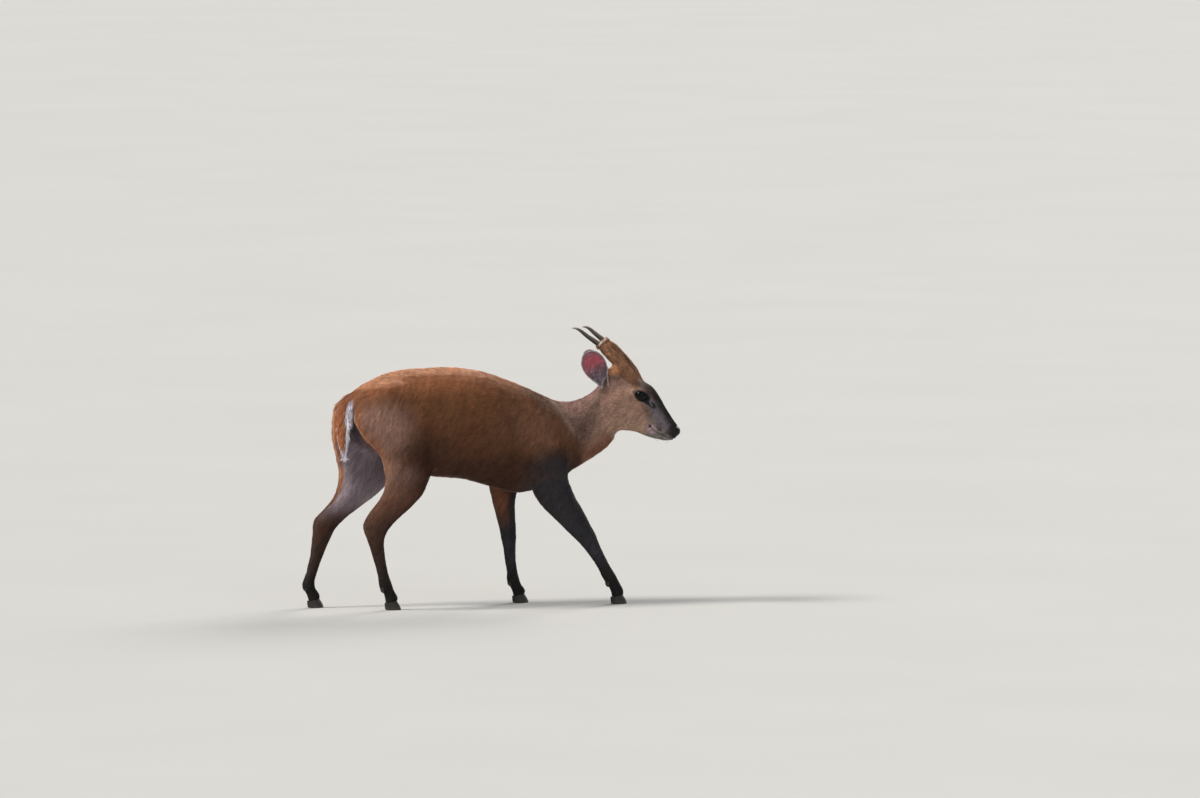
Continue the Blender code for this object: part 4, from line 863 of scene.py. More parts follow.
def paint_ears(skin, colour):
    inside = ear_inside(skin)
    rim, lining = ear_rims(skin)
    for word in SIDES:
        ear = skin.is_from("ear_" + word)
        share = ear_share(skin, word)
        outside = np.tile(EAR_BACK, (len(share), 1))
        outside = mix(outside, SMOKE, 0.7 * ramp(0.55, 1.0, share))
        outside = mix(outside, WHITE, 0.90 * rim)
        cup = np.tile(EAR_DARK, (len(share), 1))
        cup = mix(cup, EAR_PINK, 0.9 * ramp(0.30, 0.55, share + 0.05 * noise(skin.head, 0.010, 42)))
        root, tip = (np.array(v) * (1, SIDES[word], 1) for v in EARS[word][:2])
        glow = near(skin.head, 0.38 * root + 0.62 * tip, 0.032)
        cup = mix(cup, EAR_RED, np.clip(1.3 * glow, 0, 0.9))
        hairs = ramp(0.2, 0.8, noise(skin.head, (0.003, 0.003, 0.010), 41))
        cup = mix(cup, (0.420, 0.330, 0.350), 0.40 * hairs)
        cup = mix(cup, (0.030, 0.022, 0.028), 0.80 * lining)
        cup = mix(cup, (0.860, 0.830, 0.850), rim)
        ear_tone = outside + (cup - outside) * inside[:, None]
        colour = colour + (ear_tone - colour) * ear[:, None]
    return colour


# The coat

SINK = 0.0008
# Layers of hair that cover each spot, on average
LAYERS = 3.4
TUFT_LIMIT = 62000
PATCH = 0.0030


def ahead_of_shoulder(skin):
    """1 on the neck and the head, 0 on the trunk."""
    x, z = skin.points[:, 0], skin.points[:, 2]
    return ramp(-0.03, 0.03, x - 0.178 - (0.500 - z) * 0.62)


def hair_sizes(skin):
    """Length, width and lift of the tufts at each point."""
    z, x = skin.points[:, 2], skin.head[:, 0]
    head, tail = skin.is_from("head"), skin.is_from("tail")
    trunk = skin.is_from("torso", "neck")
    upper, lower = skin.is_from(*UPPERS), skin.is_from(*LOWERS)
    ears = skin.is_from("ear_right", "ear_left")
    front = ramp(0.050, 0.125, x)
    muzzle = ramp(0.150, 0.185, x)
    leg = ramp(0.18, 0.36, z)
    neck = ahead_of_shoulder(skin) * trunk
    length = (0.0135 - 0.0050 * neck) * trunk + (0.015 + 0.008 * ramp(0.38, 0.44, z)) * tail + 0.0050 * ears
    length += (0.0080 + 0.0050 * leg) * upper + (0.0060 + 0.0012 * ramp(0.05, 0.15, z)) * lower
    length += (0.0082 - 0.0032 * front - 0.0020 * muzzle) * head
    width = 0.00100 * trunk + 0.00120 * tail + 0.00060 * ears + (0.00085 + 0.0001 * leg) * upper
    width += 0.00078 * lower + (0.00072 - 0.00014 * front - 0.00008 * muzzle) * head
    lift = 0.0029 * trunk + 0.0062 * tail + 0.0007 * ears + (0.0015 + 0.0014 * leg) * upper
    lift += 0.0012 * lower + (0.0023 - 0.0013 * front - 0.0006 * muzzle) * head
    for side in (-1, 1):
        end = near(skin.head, (PEDICLE_END[0] + 0.006, side * PEDICLE_END[1], PEDICLE_END[2]), 0.026)
        length -= 0.0012 * end * head
        lift -= 0.0004 * end * head
        root = near(skin.head, (-0.014, side * 0.040, 0.068), 0.024)
        length += 0.0045 * root * head
        lift += 0.0014 * root * head
        eye = near(skin.head, (EYE_CENTRE[0], side * EYE_CENTRE[1], EYE_CENTRE[2]), 0.034)
        length *= 1 - 0.55 * eye
        lift *= 1 - 0.75 * eye
    crown = near(skin.points, (-0.334, 0.034, 0.505), 0.034)
    length += 0.0080 * crown * trunk
    lift += 0.0080 * crown * trunk
    spread = skin.spread(np.stack([length, width, lift], axis=1), 20)
    return spread.T


def ear_hair(skin):
    """How much hair grows at each point of the ears: all outside, and inside only near the rim."""
    inside = ear_inside(skin)
    grows = 1 - inside
    for word in SIDES:
        share = ear_share(skin, word)
        grows += 0.20 * inside * ramp(0.35, 0.05, share) * skin.is_from("ear_" + word)
    return np.clip(grows + 0.10 * inside + 0.35 * ear_rims(skin)[0], 0, 1)


def pedicle_caps(skin):
    """1 on the flat ends of the pedicles, where the antlers stand."""
    caps = np.zeros(len(skin.points))
    for side in SIDES.values():
        matrix = antler_matrix(side)
        local = moved(skin.points, matrix.inverted())
        facing = turned(skin.normals, matrix.inverted())[:, 0]
        close = (np.abs(local[:, 0]) < 0.006) * (np.hypot(*local[:, 1:].T) < 0.02)
        caps = np.maximum(caps, ramp(0.3, 0.7, facing) * close)
    return caps * skin.is_from("head")


class Growth:
    """What a coat piece needs at each point of the skin."""

    def __init__(self, skin, thickness):
        self.skin = skin
        self.lie = coat_lie(skin)
        self.colour = coat_colour(skin)
        self.length, self.width, self.lift = hair_sizes(skin)
        self.density = thickness * LAYERS / (0.6 * self.length * self.width)
        self.density *= ear_hair(skin) * (1 - ramp(0.25, 0.60, bare_skin(skin))) * (1 - pedicle_caps(skin))
        low = [ramp(0.60, 0.40, ear_share(skin, word)) * skin.is_from("ear_" + word) for word in SIDES]
        low_in_ear = ear_inside(skin) * sum(low)
        self.colour_of_hair = mix(self.colour, (0.520, 0.430, 0.450), 0.70 * low_in_ear)
        self.ticking = 0.12 + 0.20 * ahead_of_shoulder(skin) * skin.is_from("torso", "neck", "head")
        self.ticking += 0.10 * ramp(0.082, 0.092, skin.head[:, 2]) * skin.is_from("head")
        self.uv = np.empty(len(skin.mesh.loops) * 2, np.float32)
        if skin.mesh.uv_layers:
            skin.mesh.uv_layers[0].data.foreach_get("uv", self.uv)
        self.uv = self.uv.reshape(-1, 2)


def hair_tone(points, seed):
    """Light and dark of the coat: strand by strand, in ripples across the hair, and in wide soft patches."""
    along = 0.004 * noise(points, 0.030, seed) - 0.45 * points[:, 2]
    sheared = points + along[:, None] * (1, 0, 0)
    ripples = noise(sheared, (0.0050, 0.020, 0.0150), seed + 1)
    patches = noise(points, 0.034, seed + 2)
    strands = noise(points, 0.0023, seed + 3)
    return 1 + 0.26 * ripples + 0.10 * patches + 0.12 * strands


def grow_tufts(growth, chosen, rng):
    """Points, faces, colours and patches of the tufts on the chosen triangles."""
    skin = growth.skin
    tris, loops = skin.triangles[chosen], skin.loops[chosen]
    a, b, c = (skin.points[tris[:, k]] for k in range(3))
    area = np.linalg.norm(np.cross(b - a, c - a), axis=1) / 2
    expected = area * growth.density[tris].mean(axis=1)
    count = np.floor(expected + rng.random(len(tris))).astype(int)
    picked = np.repeat(np.arange(len(tris)), count)
    u, v = rng.random((2, len(picked)))
    flip = u + v > 1
    u, v = np.where(flip, 1 - u, u), np.where(flip, 1 - v, v)
    shares = np.stack([1 - u - v, u, v], axis=1)[:, :, None]

    def at(values):
        values = values[tris[picked]]
        return (values * (shares if values.ndim == 3 else shares[:, :, 0])).sum(axis=1)

    root, normal, lie = at(skin.points), unit(at(skin.normals)), at(growth.lie)
    lie = unit(lie - normal * np.sum(lie * normal, axis=1, keepdims=True))
    length = at(growth.length) * rng.uniform(0.70, 1.20, len(root))
    width = at(growth.width) * rng.uniform(0.75, 1.25, len(root))
    clump = noise(root, (0.009, 0.006, 0.007), 51)
    lift = at(growth.lift) * (rng.uniform(0.55, 1.10, len(root)) + 0.22 * clump)
    across = np.cross(normal, lie)
    lie = unit(lie + across * rng.normal(0, 0.13, len(root))[:, None])
    across = unit(np.cross(normal, lie) + normal * rng.normal(0, 0.25, len(root))[:, None])
    base = root - normal * SINK
    middle = root + lie * (0.48 * length)[:, None] + normal * (0.74 * lift)[:, None]
    tip = root + lie * length[:, None] + normal * lift[:, None]
    half = across * (width / 2)[:, None]
    points = np.stack([base - half, base + half, middle + 0.85 * half, middle - 0.85 * half, tip], axis=1)
    order = np.array([[0, 1, 2], [0, 2, 3], [3, 2, 4]])
    faces = (5 * np.arange(len(root)))[:, None, None] + order
    tone = hair_tone(root, 60) * (1 + rng.normal(0, 1, len(root)) * at(growth.ticking))
    colour = at(growth.colour_of_hair) * np.clip(tone, 0.40, 1.7)[:, None]
    # Each tuft is darker at its root, painted shade under the hair lying over it, and paler at its tip, as
    # the hair's own tips are
    shades = np.stack([colour * 0.70, colour * 0.70, colour * 0.98, colour * 0.98, colour * 1.18], axis=1)
    uv = (growth.uv[loops[picked]] * shares).sum(axis=1)
    corner = PATCH * np.array([[-0.4, -0.5], [0.4, -0.5], [0.4, 0.0], [-0.4, 0.0], [0.0, 0.5]])
    patch = uv[:, None, :] + corner
    return points.reshape(-1, 3), faces.reshape(-1, 3), shades.reshape(-1, 3), patch.reshape(-1, 2)


def coat_zones(skin):
    """Name, solids and a material word of each stretch of the coat; the word is not used."""
    return (
        ("coat_trunk", ("torso",), "coat"),
        ("coat_neck", ("neck",), "coat"),
        ("coat_head", ("head",), "coat"),
        ("coat_ears", ("ear_right", "ear_left"), "coat"),
        ("coat_tail", ("tail",), "coat"),
        ("coat_thighs", ("hind_right_upper", "hind_left_upper"), "coat"),
        ("coat_arms", ("fore_right_upper", "fore_left_upper"), "coat"),
        ("coat_shanks", ("hind_right_lower", "hind_left_lower"), "dark_coat"),
        ("coat_forelegs", ("fore_right_lower", "fore_left_lower"), "dark_coat"),
    )


def add_coat(skin, thickness, seed):
    growth = Growth(skin, thickness)
    paint(skin.mesh, "coat_colour", growth.colour * hair_tone(skin.points, 60)[:, None] * 0.80)
    paint(skin.mesh, "bare", bare_skin(skin))
    paint(skin.mesh, "cup", ear_inside(skin))
    rng = np.random.default_rng(seed)
    fur = fur_material()
    owner = skin.solid[skin.triangles[:, 0]]
    for name, solids, slot in coat_zones(skin):
        chosen = np.flatnonzero(np.isin(owner, [FLESH.index(s) for s in solids]))
        points, faces, shades, patch = grow_tufts(growth, chosen, rng)
        tufts = len(points) // 5
        parts = math.ceil(tufts / TUFT_LIMIT)
        order = np.argsort(points[::5, 0], kind="stable")
        for k, own in enumerate(np.array_split(order, parts)):
            corners = (5 * own[:, None] + np.arange(5)).ravel()
            local = (5 * np.arange(len(own)))[:, None, None] + np.array([[0, 1, 2], [0, 2, 3], [3, 2, 4]])
            piece = name if parts == 1 else f"{name}_{k + 1}"
            mesh = mesh_of(piece, points[corners], local.reshape(-1, 3))
            paint(mesh, "coat_colour", shades[corners])
            layer = mesh.uv_layers.new(name="OFBake")
            layer.data.foreach_set("uv", patch[corners][local.ravel()].astype(np.float32).ravel())
            add_piece(piece, mesh, fur)


# Materials


def blank_material(name):
    material = bpy.data.materials.new(name)
    material.use_nodes = True
    nodes = material.node_tree.nodes
    shader = nodes["Principled BSDF"]
    return material, nodes, material.node_tree.links, shader


def add_noise(nodes, links, scale, detail=3.0, stretch=(1, 1, 1)):
    """A noise texture in the object's own metres, drawn out along its axes."""
    place = nodes.new("ShaderNodeTexCoord")
    spread = nodes.new("ShaderNodeMapping")
    spread.inputs["Scale"].default_value = stretch
    texture = nodes.new("ShaderNodeTexNoise")
    texture.inputs["Scale"].default_value = scale
    texture.inputs["Detail"].default_value = detail
    links.new(place.outputs["Object"], spread.inputs["Vector"])
    links.new(spread.outputs["Vector"], texture.inputs["Vector"])
    return texture


def add_ramp(nodes, links, source, low, high):
    """A number that runs from low to high as the source runs from 0.3 to 0.7."""
    node = nodes.new("ShaderNodeMapRange")
    node.inputs["From Min"].default_value = 0.3
    node.inputs["From Max"].default_value = 0.7
    node.inputs["To Min"].default_value = low
    node.inputs["To Max"].default_value = high
    links.new(source, node.inputs["Value"])
    return node.outputs["Result"]


def add_bump(nodes, links, shader, height, distance, strength=1.0):
    node = nodes.new("ShaderNodeBump")
    node.inputs["Distance"].default_value = distance
    node.inputs["Strength"].default_value = strength
    links.new(height, node.inputs["Height"])
    links.new(node.outputs["Normal"], shader.inputs["Normal"])
    return node


def tinted(nodes, links, colour, factor):
    """The colour times a number."""
    node = nodes.new("ShaderNodeVectorMath")
    node.operation = "SCALE"
    links.new(colour, node.inputs[0])
    links.new(factor, node.inputs["Scale"])
    return node.outputs["Vector"]


def fur_material():
    """Hair: the markings, broken up strand by strand."""
    material, nodes, links, shader = blank_material("fur")
    colour = nodes.new("ShaderNodeAttribute")
    colour.attribute_name = "coat_colour"
    strands = add_noise(nodes, links, 900.0, 2.0)
    factor = add_ramp(nodes, links, strands.outputs["Fac"], 0.82, 1.20)
    links.new(tinted(nodes, links, colour.outputs["Color"], factor), shader.inputs["Base Color"])
    rough = add_noise(nodes, links, 260.0, 2.0)
    links.new(add_ramp(nodes, links, rough.outputs["Fac"], 0.56, 0.74), shader.inputs["Roughness"])
    shader.inputs["Specular IOR Level"].default_value = 0.18
    add_bump(nodes, links, shader, strands.outputs["Fac"], 0.00015)
    return material


def skin_material():
    """Skin under the hair: markings and short flat hair, and wet cobbles on the nose."""
    material, nodes, links, shader = blank_material("skin")
    colour = nodes.new("ShaderNodeAttribute")
    colour.attribute_name = "coat_colour"
    bare = nodes.new("ShaderNodeAttribute")
    bare.attribute_name = "bare"
    hair = add_noise(nodes, links, 620.0, 4.0, (0.45, 1.0, 1.0))
    factor = add_ramp(nodes, links, hair.outputs["Fac"], 0.72, 1.28)
    links.new(tinted(nodes, links, colour.outputs["Color"], factor), shader.inputs["Base Color"])
    cobbles = nodes.new("ShaderNodeTexVoronoi")
    cobbles.inputs["Scale"].default_value = 950.0
    place = nodes.new("ShaderNodeTexCoord")
    links.new(place.outputs["Object"], cobbles.inputs["Vector"])
    height = nodes.new("ShaderNodeMix")
    links.new(bare.outputs["Fac"], height.inputs["Factor"])
    links.new(hair.outputs["Fac"], height.inputs["A"])
    links.new(cobbles.outputs["Distance"], height.inputs["B"])
    add_bump(nodes, links, shader, height.outputs["Result"], 0.00020)
    wet = nodes.new("ShaderNodeMapRange")
    wet.inputs["To Min"].default_value = 0.68
    wet.inputs["To Max"].default_value = 0.27
    links.new(bare.outputs["Fac"], wet.inputs["Value"])
    links.new(wet.outputs["Result"], shader.inputs["Roughness"])
    shader.inputs["Specular IOR Level"].default_value = 0.24
    return material


def horn_material():
    """Black hoof horn with growth rings, scratches and a worn, dusty lower edge."""
    material, nodes, links, shader = blank_material("hoof_horn")
    rings = nodes.new("ShaderNodeTexWave")
    rings.wave_type = "BANDS"
    rings.bands_direction = "Z"
    rings.inputs["Scale"].default_value = 130.0
    rings.inputs["Distortion"].default_value = 3.0
    rings.inputs["Detail"].default_value = 3.0
    place = nodes.new("ShaderNodeTexCoord")
    links.new(place.outputs["Object"], rings.inputs["Vector"])
    grain = add_noise(nodes, links, 700.0, 4.0, (1.0, 1.0, 0.2))
    split = nodes.new("ShaderNodeSeparateXYZ")
    links.new(place.outputs["Object"], split.inputs["Vector"])
    worn = nodes.new("ShaderNodeMapRange")
    worn.inputs["From Min"].default_value = 0.0
    worn.inputs["From Max"].default_value = 0.011
    worn.inputs["To Min"].default_value = 1.0
    worn.inputs["To Max"].default_value = 0.0
    links.new(split.outputs["Z"], worn.inputs["Value"])
    tone = nodes.new("ShaderNodeValToRGB")
    tone.color_ramp.elements[0].color = (0.008, 0.007, 0.006, 1)
    tone.color_ramp.elements[1].color = (0.034, 0.027, 0.023, 1)
    links.new(grain.outputs["Fac"], tone.inputs["Fac"])
    dust = nodes.new("ShaderNodeMix")
    dust.data_type = "RGBA"
    dust.inputs[7].default_value = (0.080, 0.062, 0.048, 1)
    share = nodes.new("ShaderNodeMath")
    share.operation = "MULTIPLY"
    links.new(worn.outputs["Result"], share.inputs[0])
    links.new(grain.outputs["Fac"], share.inputs[1])
    links.new(share.outputs["Value"], dust.inputs["Factor"])
    links.new(tone.outputs["Color"], dust.inputs[6])
    links.new(dust.outputs[2], shader.inputs["Base Color"])
    links.new(add_ramp(nodes, links, grain.outputs["Fac"], 0.30, 0.55), shader.inputs["Roughness"])
    add_bump(nodes, links, shader, rings.outputs["Fac"], 0.00020, 0.8)
    return material


def antler_material():
    """Antler: grey-brown in the grooves, pale on the ridges and the tip, where it is polished, with a painted
    highlight along its top and painted shade underneath.
    """
    material, nodes, links, shader = blank_material("antler_bone")
    tone = nodes.new("ShaderNodeAttribute")
    tone.attribute_name = "coat_colour"
    grain = add_noise(nodes, links, 420.0, 5.0)
    factor = add_ramp(nodes, links, grain.outputs["Fac"], 0.68, 1.30)
    links.new(tinted(nodes, links, tone.outputs["Color"], factor), shader.inputs["Base Color"])
    links.new(add_ramp(nodes, links, grain.outputs["Fac"], 0.34, 0.60), shader.inputs["Roughness"])
    add_bump(nodes, links, shader, grain.outputs["Fac"], 0.0005, 0.7)
    return material


def eye_material():
    """A dark brown eye with a wide black pupil, under a wet surface."""
    material, nodes, links, shader = blank_material("eyeball")
    tone = nodes.new("ShaderNodeAttribute")
    tone.attribute_name = "coat_colour"
    fibres = add_noise(nodes, links, 900.0, 3.0)
    factor = add_ramp(nodes, links, fibres.outputs["Fac"], 0.75, 1.25)
    links.new(tinted(nodes, links, tone.outputs["Color"], factor), shader.inputs["Base Color"])
    shader.inputs["Roughness"].default_value = 0.050
    shader.inputs["Specular IOR Level"].default_value = 0.20
    return material


def lid_material():
    """Moist, finely wrinkled dark skin of the lids' edges."""
    material, nodes, links, shader = blank_material("lid_skin")
    folds = add_noise(nodes, links, 1400.0, 3.0)
    tone = nodes.new("ShaderNodeValToRGB")
    tone.color_ramp.elements[0].color = (0.003, 0.003, 0.003, 1)
    tone.color_ramp.elements[1].color = (0.011, 0.008, 0.008, 1)
    links.new(folds.outputs["Fac"], tone.inputs["Fac"])
    links.new(tone.outputs["Color"], shader.inputs["Base Color"])
    links.new(add_ramp(nodes, links, folds.outputs["Fac"], 0.34, 0.52), shader.inputs["Roughness"])
    shader.inputs["Specular IOR Level"].default_value = 0.22
    add_bump(nodes, links, shader, folds.outputs["Fac"], 0.0003)
    return material


# Eyes, antlers, hooves and whiskers


def add_eye(word, eyeball, lid):
    """A dark eyeball with a clear bulge in front, and the lids round it."""
    side = SIDES[word]
    matrix = eye_matrix(side)
    rings, spokes = 40, 56
    points, faces, colours = [], [], []
    for i in range(rings + 1):
        polar = math.pi * i / rings
        bulge = EYE_RADIUS * (0.985 + 0.015 * math.exp(-((polar / 0.55) ** 2)))
        for k in range(spokes):
            angle = 2 * math.pi * k / spokes
            x, z = math.sin(polar) * math.cos(angle), math.sin(polar) * math.sin(angle)
            points.append((x * bulge, math.cos(polar) * bulge, z * bulge))
            pupil = math.hypot(x / 0.60, z / 0.42)
            iris = math.hypot(x, z)
            colour = (0.0006, 0.0007, 0.0010) if pupil < 1 else (0.0030, 0.0018, 0.0014)
            if iris > 0.80:
                colour = (0.0015, 0.0012, 0.0012)
            colours.append(colour)
    for i in range(rings):
        for k in range(spokes):
            n = (k + 1) % spokes
            quad = (i * spokes + k, (i + 1) * spokes + k, (i + 1) * spokes + n, i * spokes + n)
            faces.append(quad if side < 0 else quad[::-1])
    mesh = mesh_of("eyeball_" + word, moved(np.array(points), matrix), faces)
    paint(mesh, "coat_colour", np.array(colours))
    add_piece("eyeball_" + word, mesh, eyeball, ("eye_" + word,))

    return add_lids(word, lid)


def lid_outline(angle, spread):
    """A point of the eye's opening, widened by so much, in the eye's frame before it is laid on the ball."""
    x, z = math.cos(angle), math.sin(angle)
    # The upper lid arches highest towards the back, and the front corner runs out into the tear duct
    arch = 1.14 * (1 - 0.22 * x) if z > 0 else 0.86
    duct = 1 + 0.22 * max(x, 0) ** 8
    almond = abs(z) ** 0.30
    x, z = (EYE_SLIT_LENGTH / 2 * duct + spread) * x, (EYE_SLIT_HEIGHT / 2 * arch * almond + spread) * z
    return x - 0.0006, z


def add_lids(word, material):
    """Lids that curl over the eyeball and pass with two folds into the skin of the face."""
    side = SIDES[word]
    matrix = eye_matrix(side)
    skin = bpy.data.objects["skin"].data
    tree = BVHTree.FromPolygons([v.co for v in skin.vertices], [tuple(p.vertices) for p in skin.polygons])
    look = Vector(turned((0, 1, 0), matrix))
    rings = []
    for k in range(LID_STEPS):
        angle = 2 * math.pi * k / LID_STEPS
        upper = max(math.sin(angle), 0)
        outer = lid_outline(angle, LID_REACH)
        above = Vector(moved(np.array((outer[0], 0.030, outer[1])), matrix) + SHIFT)
        hit = tree.ray_cast(above, -look)[0]
        landed = moved(np.array(hit if hit else above) - SHIFT, matrix.inverted())
        landed[1] = min(landed[1], EYE_RADIUS + 0.003) - 0.0007
        ring = []
        for spread, lift in ((-0.0004, -0.0006), (-0.0002, 0.0005), (0.0006, 0.0012), (0.0016, 0.0011)):
            x, z = lid_outline(angle, spread)
            reach = EYE_RADIUS + lift + 0.0004 * upper
            ring.append(np.array((x, math.sqrt(max(reach * reach - x * x - z * z, 1e-5)), z)))
        folds = ((0.25, -0.0002), (0.45, -0.0007 - 0.0005 * upper), (0.65, 0.0007), (0.85, 0.0004))
        for share, fold in folds:
            ring.append(ring[3] + (landed - ring[3]) * share + np.array((0, fold, 0)))
        ring.append(landed)
        rings.append(ring)
    rings = np.array(rings)
    rows = rings.shape[1]
    faces = []
    for k in range(LID_STEPS):
        n = (k + 1) % LID_STEPS
        for i in range(rows - 1):
            quad = (k * rows + i, k * rows + i + 1, n * rows + i + 1, n * rows + i)
            faces.append(quad if side < 0 else quad[::-1])
    mesh = mesh_of("lids_" + word, moved(rings.reshape(-1, 3), matrix), faces)
    add_piece("lids_" + word, mesh, material)
    centres = rings[:, 2]
    return centres, unit(centres)


def add_antler(word, material):
    """A spike with a knobbly burr and lengthwise furrows that fade towards its hooked tip."""
    side = SIDES[word]
    matrix = antler_matrix(side)
    share = ANTLER_SHARE[word]
    rows = smooth_rows([(x * share + 0.0003, -side * y, z * share, r) for x, y, z, r in ANTLER], 8)
    count = 36
    angle = 2 * np.pi * np.arange(count) / count
    points, colours = [], []
    centres = rows[:, :3]
    along = unit(np.gradient(centres, axis=0))
    across = unit(np.cross(along, (0, 0, 1)))
    other = np.cross(across, along)
    for i, row in enumerate(rows):
        way = row[0] / (0.08 * share)
        ring = across[i] * np.cos(angle)[:, None] + other[i] * np.sin(angle)[:, None]
        furrow = np.cos(6 * angle + 1.3 * math.sin(5 * way)) * 0.5 + 0.5 * np.cos(11 * angle + 2.0)
        around = np.stack([np.cos(angle) * 4, np.sin(angle) * 4, np.full(count, row[0] * 400)], axis=1)
        knobs = noise(around, 1.0, 71)
        burr = math.exp(-(((row[0] - 0.003) / 0.0028) ** 2))
        relief = 0.065 * furrow * (1 - ramp(0.45, 0.95, way)) * (1 - burr) + 0.16 * knobs * burr
        points.append(row[:3] + ring * (row[3] * (1.0 + relief))[:, None])
        # Painted highlight along the antler's top, where light from above falls, and painted shade along its
        # underside
        crown = np.clip(ring[:, 2], 0, 1) ** 2
        tone = 0.02 + 0.09 * furrow + 0.55 * ramp(0.78, 1.0, way) + 0.42 * crown + burr * (1.00 + 0.7 * knobs)
        tone *= 1 - 0.90 * np.clip(-1.6 * ring[:, 2], 0, 1) * (1 - burr)
        dark = np.tile((0.022, 0.018, 0.017), (count, 1))
        colours.append(mix(dark, (0.520, 0.430, 0.350), np.clip(tone, 0, 1.2)))
    faces = []
    for i in range(len(rows)):
        for k in range(count):
            n = (k + 1) % count
            faces.append((i * count + k, i * count + n, (i + 1) * count + n, (i + 1) * count + k))
    points.append(np.tile(points[-1].mean(axis=0), (count, 1)))
    colours.append(colours[-1])
    mesh = mesh_of("antler_horn_" + word, moved(np.vstack(points), matrix), faces)
    outward = point_normals(np.vstack(points), np.array([f[:3] for f in faces]))
    if np.mean(np.sum(outward[: count * 20] * (np.vstack(points)[: count * 20] - centres[10]), axis=1)) < 0:
        mesh.flip_normals()
    paint(mesh, "coat_colour", np.vstack(colours))
    add_piece("antler_horn_" + word, mesh, material, ("antler_" + word,))


def add_hairs(name, roots, tips, width, colour, sag=0.12):
    """Single thin hairs: three-sided, tapered, a little bent."""
    roots, tips = np.array(roots), np.array(tips)
    along = tips - roots
    length = np.linalg.norm(along, axis=1, keepdims=True)
    down = np.array((0, 0, -1.0)) * length * sag
    a = unit(np.cross(along, (0.31, 0.22, 0.92)))
    b = np.cross(unit(along), a)
    rings = []
    for share, size in ((0.0, 1.0), (0.35, 0.8), (0.70, 0.5)):
        centre = roots + along * share + down * share * share
        for angle in (0.0, 2.094, 4.189):
            rings.append(centre + (a * math.cos(angle) + b * math.sin(angle)) * width / 2 * size)
    rings.append(tips + down)
    points = np.stack(rings, axis=1)
    order = []
    for i in (0, 3):
        for k in range(3):
            n = (k + 1) % 3
            order += [(i + k, i + n, i + 3 + n), (i + k, i + 3 + n, i + 3 + k)]
    order += [(6, 7, 9), (7, 8, 9), (8, 6, 9)]
    faces = (10 * np.arange(len(roots)))[:, None, None] + np.array(order)
    mesh = mesh_of(name, points.reshape(-1, 3), faces.reshape(-1, 3))
    paint(mesh, "coat_colour", np.tile(colour, (10 * len(roots), 1)))
    add_piece(name, mesh, bpy.data.materials["fur"])


def add_lashes(word, centres, out, rng):
    """Lashes along the upper lid."""
    side = SIDES[word]
    matrix = eye_matrix(side)
    upper = [k for k in range(len(centres)) if centres[k][2] > 0.002 for _ in range(3)]
    roots, tips = [], []
    for k in upper:
        root = centres[k] + out[k] * 0.0009 + rng.normal(0, 0.0004, 3)
        lean = np.array((-0.18 + 0.5 * centres[k][0] / 0.015, 0.55, 0.90)) + rng.normal(0, 0.12, 3)
        roots.append(root)
        tips.append(root + unit(lean) * rng.uniform(0.0035, 0.0055))
    add_hairs(
        "lashes_" + word, moved(np.array(roots), matrix), moved(np.array(tips), matrix), 0.00030,
        (0.012, 0.009, 0.008), 0.10,
    )


def add_whiskers(skin, rng):
    """Sparse stiff hairs on lips and chin."""
    x, y, z = skin.head.T
    lips = skin.is_from("head") * (x > 0.150) * (x < 0.190) * (z < 0.024)
    chosen = rng.choice(np.flatnonzero(lips), 44, replace=False)
    roots = skin.points[chosen]
    back = turned(np.tile((-0.45, 0, -0.35), (len(chosen), 1)), HEAD_FRAME)
    lean = unit(skin.normals[chosen] + back + rng.normal(0, 0.12, (len(chosen), 3)))
    tips = roots + lean * rng.uniform(0.005, 0.013, len(chosen))[:, None]
    add_hairs("whiskers", roots, tips, 0.00032, (0.030, 0.025, 0.022), 0.10)


def dress_hooves(material):
    for foot in FEET:
        for part in ("hoof_outer", "hoof_inner", "dewclaw_outer", "dewclaw_inner"):
            node = NODES[f"{foot}_{part}"]
            for place in node.material_slots:
                place.material = material


# The studio

CAMERA_AZIMUTH = math.radians(-17.0)
CAMERA_ELEVATION = math.radians(4.0)
CAMERA_AWAY = 30.0
VIEW_WIDTH = 2.94
# The photo's middle, measured from the plan's origin to the right and up across the view
VIEW_MIDDLE = (0.294, 0.5057)


def view_axes():
    a, e = CAMERA_AZIMUTH, CAMERA_ELEVATION
    back = np.array((math.sin(a) * math.cos(e), -math.cos(a) * math.cos(e), math.sin(e)))
    right = np.array((math.cos(a), math.sin(a), 0.0))
    return right, np.cross(back, right), back


def add_camera():
    right, up, back = view_axes()
    middle = SHIFT + right * VIEW_MIDDLE[0] + up * VIEW_MIDDLE[1]
    camera = bpy.data.cameras.new("photo_view")
    camera.sensor_width = 36.0
    camera.lens = camera.sensor_width * CAMERA_AWAY / VIEW_WIDTH
    camera.clip_start, camera.clip_end = 0.5, 400.0
    camera.dof.use_dof = False
    obj = bpy.data.objects.new("photo_view", camera)
    bpy.context.scene.collection.objects.link(obj)
    obj.location = Vector(middle + back * CAMERA_AWAY)
    obj.rotation_euler = Vector(-back).to_track_quat("-Z", "Y").to_euler()
    bpy.context.scene.camera = obj


def add_sun(name, way, width, strength, colour):
    """A broad soft light from a direction given across, up and back along the photo's view."""
    light = bpy.data.lights.new(name, "SUN")
    light.angle = width
    light.energy = strength
    light.color = colour
    obj = bpy.data.objects.new(name, light)
    bpy.context.scene.collection.objects.link(obj)
    source = sum(share * axis for share, axis in zip(way, view_axes()))
    obj.rotation_euler = Vector(source).to_track_quat("Z", "Y").to_euler()


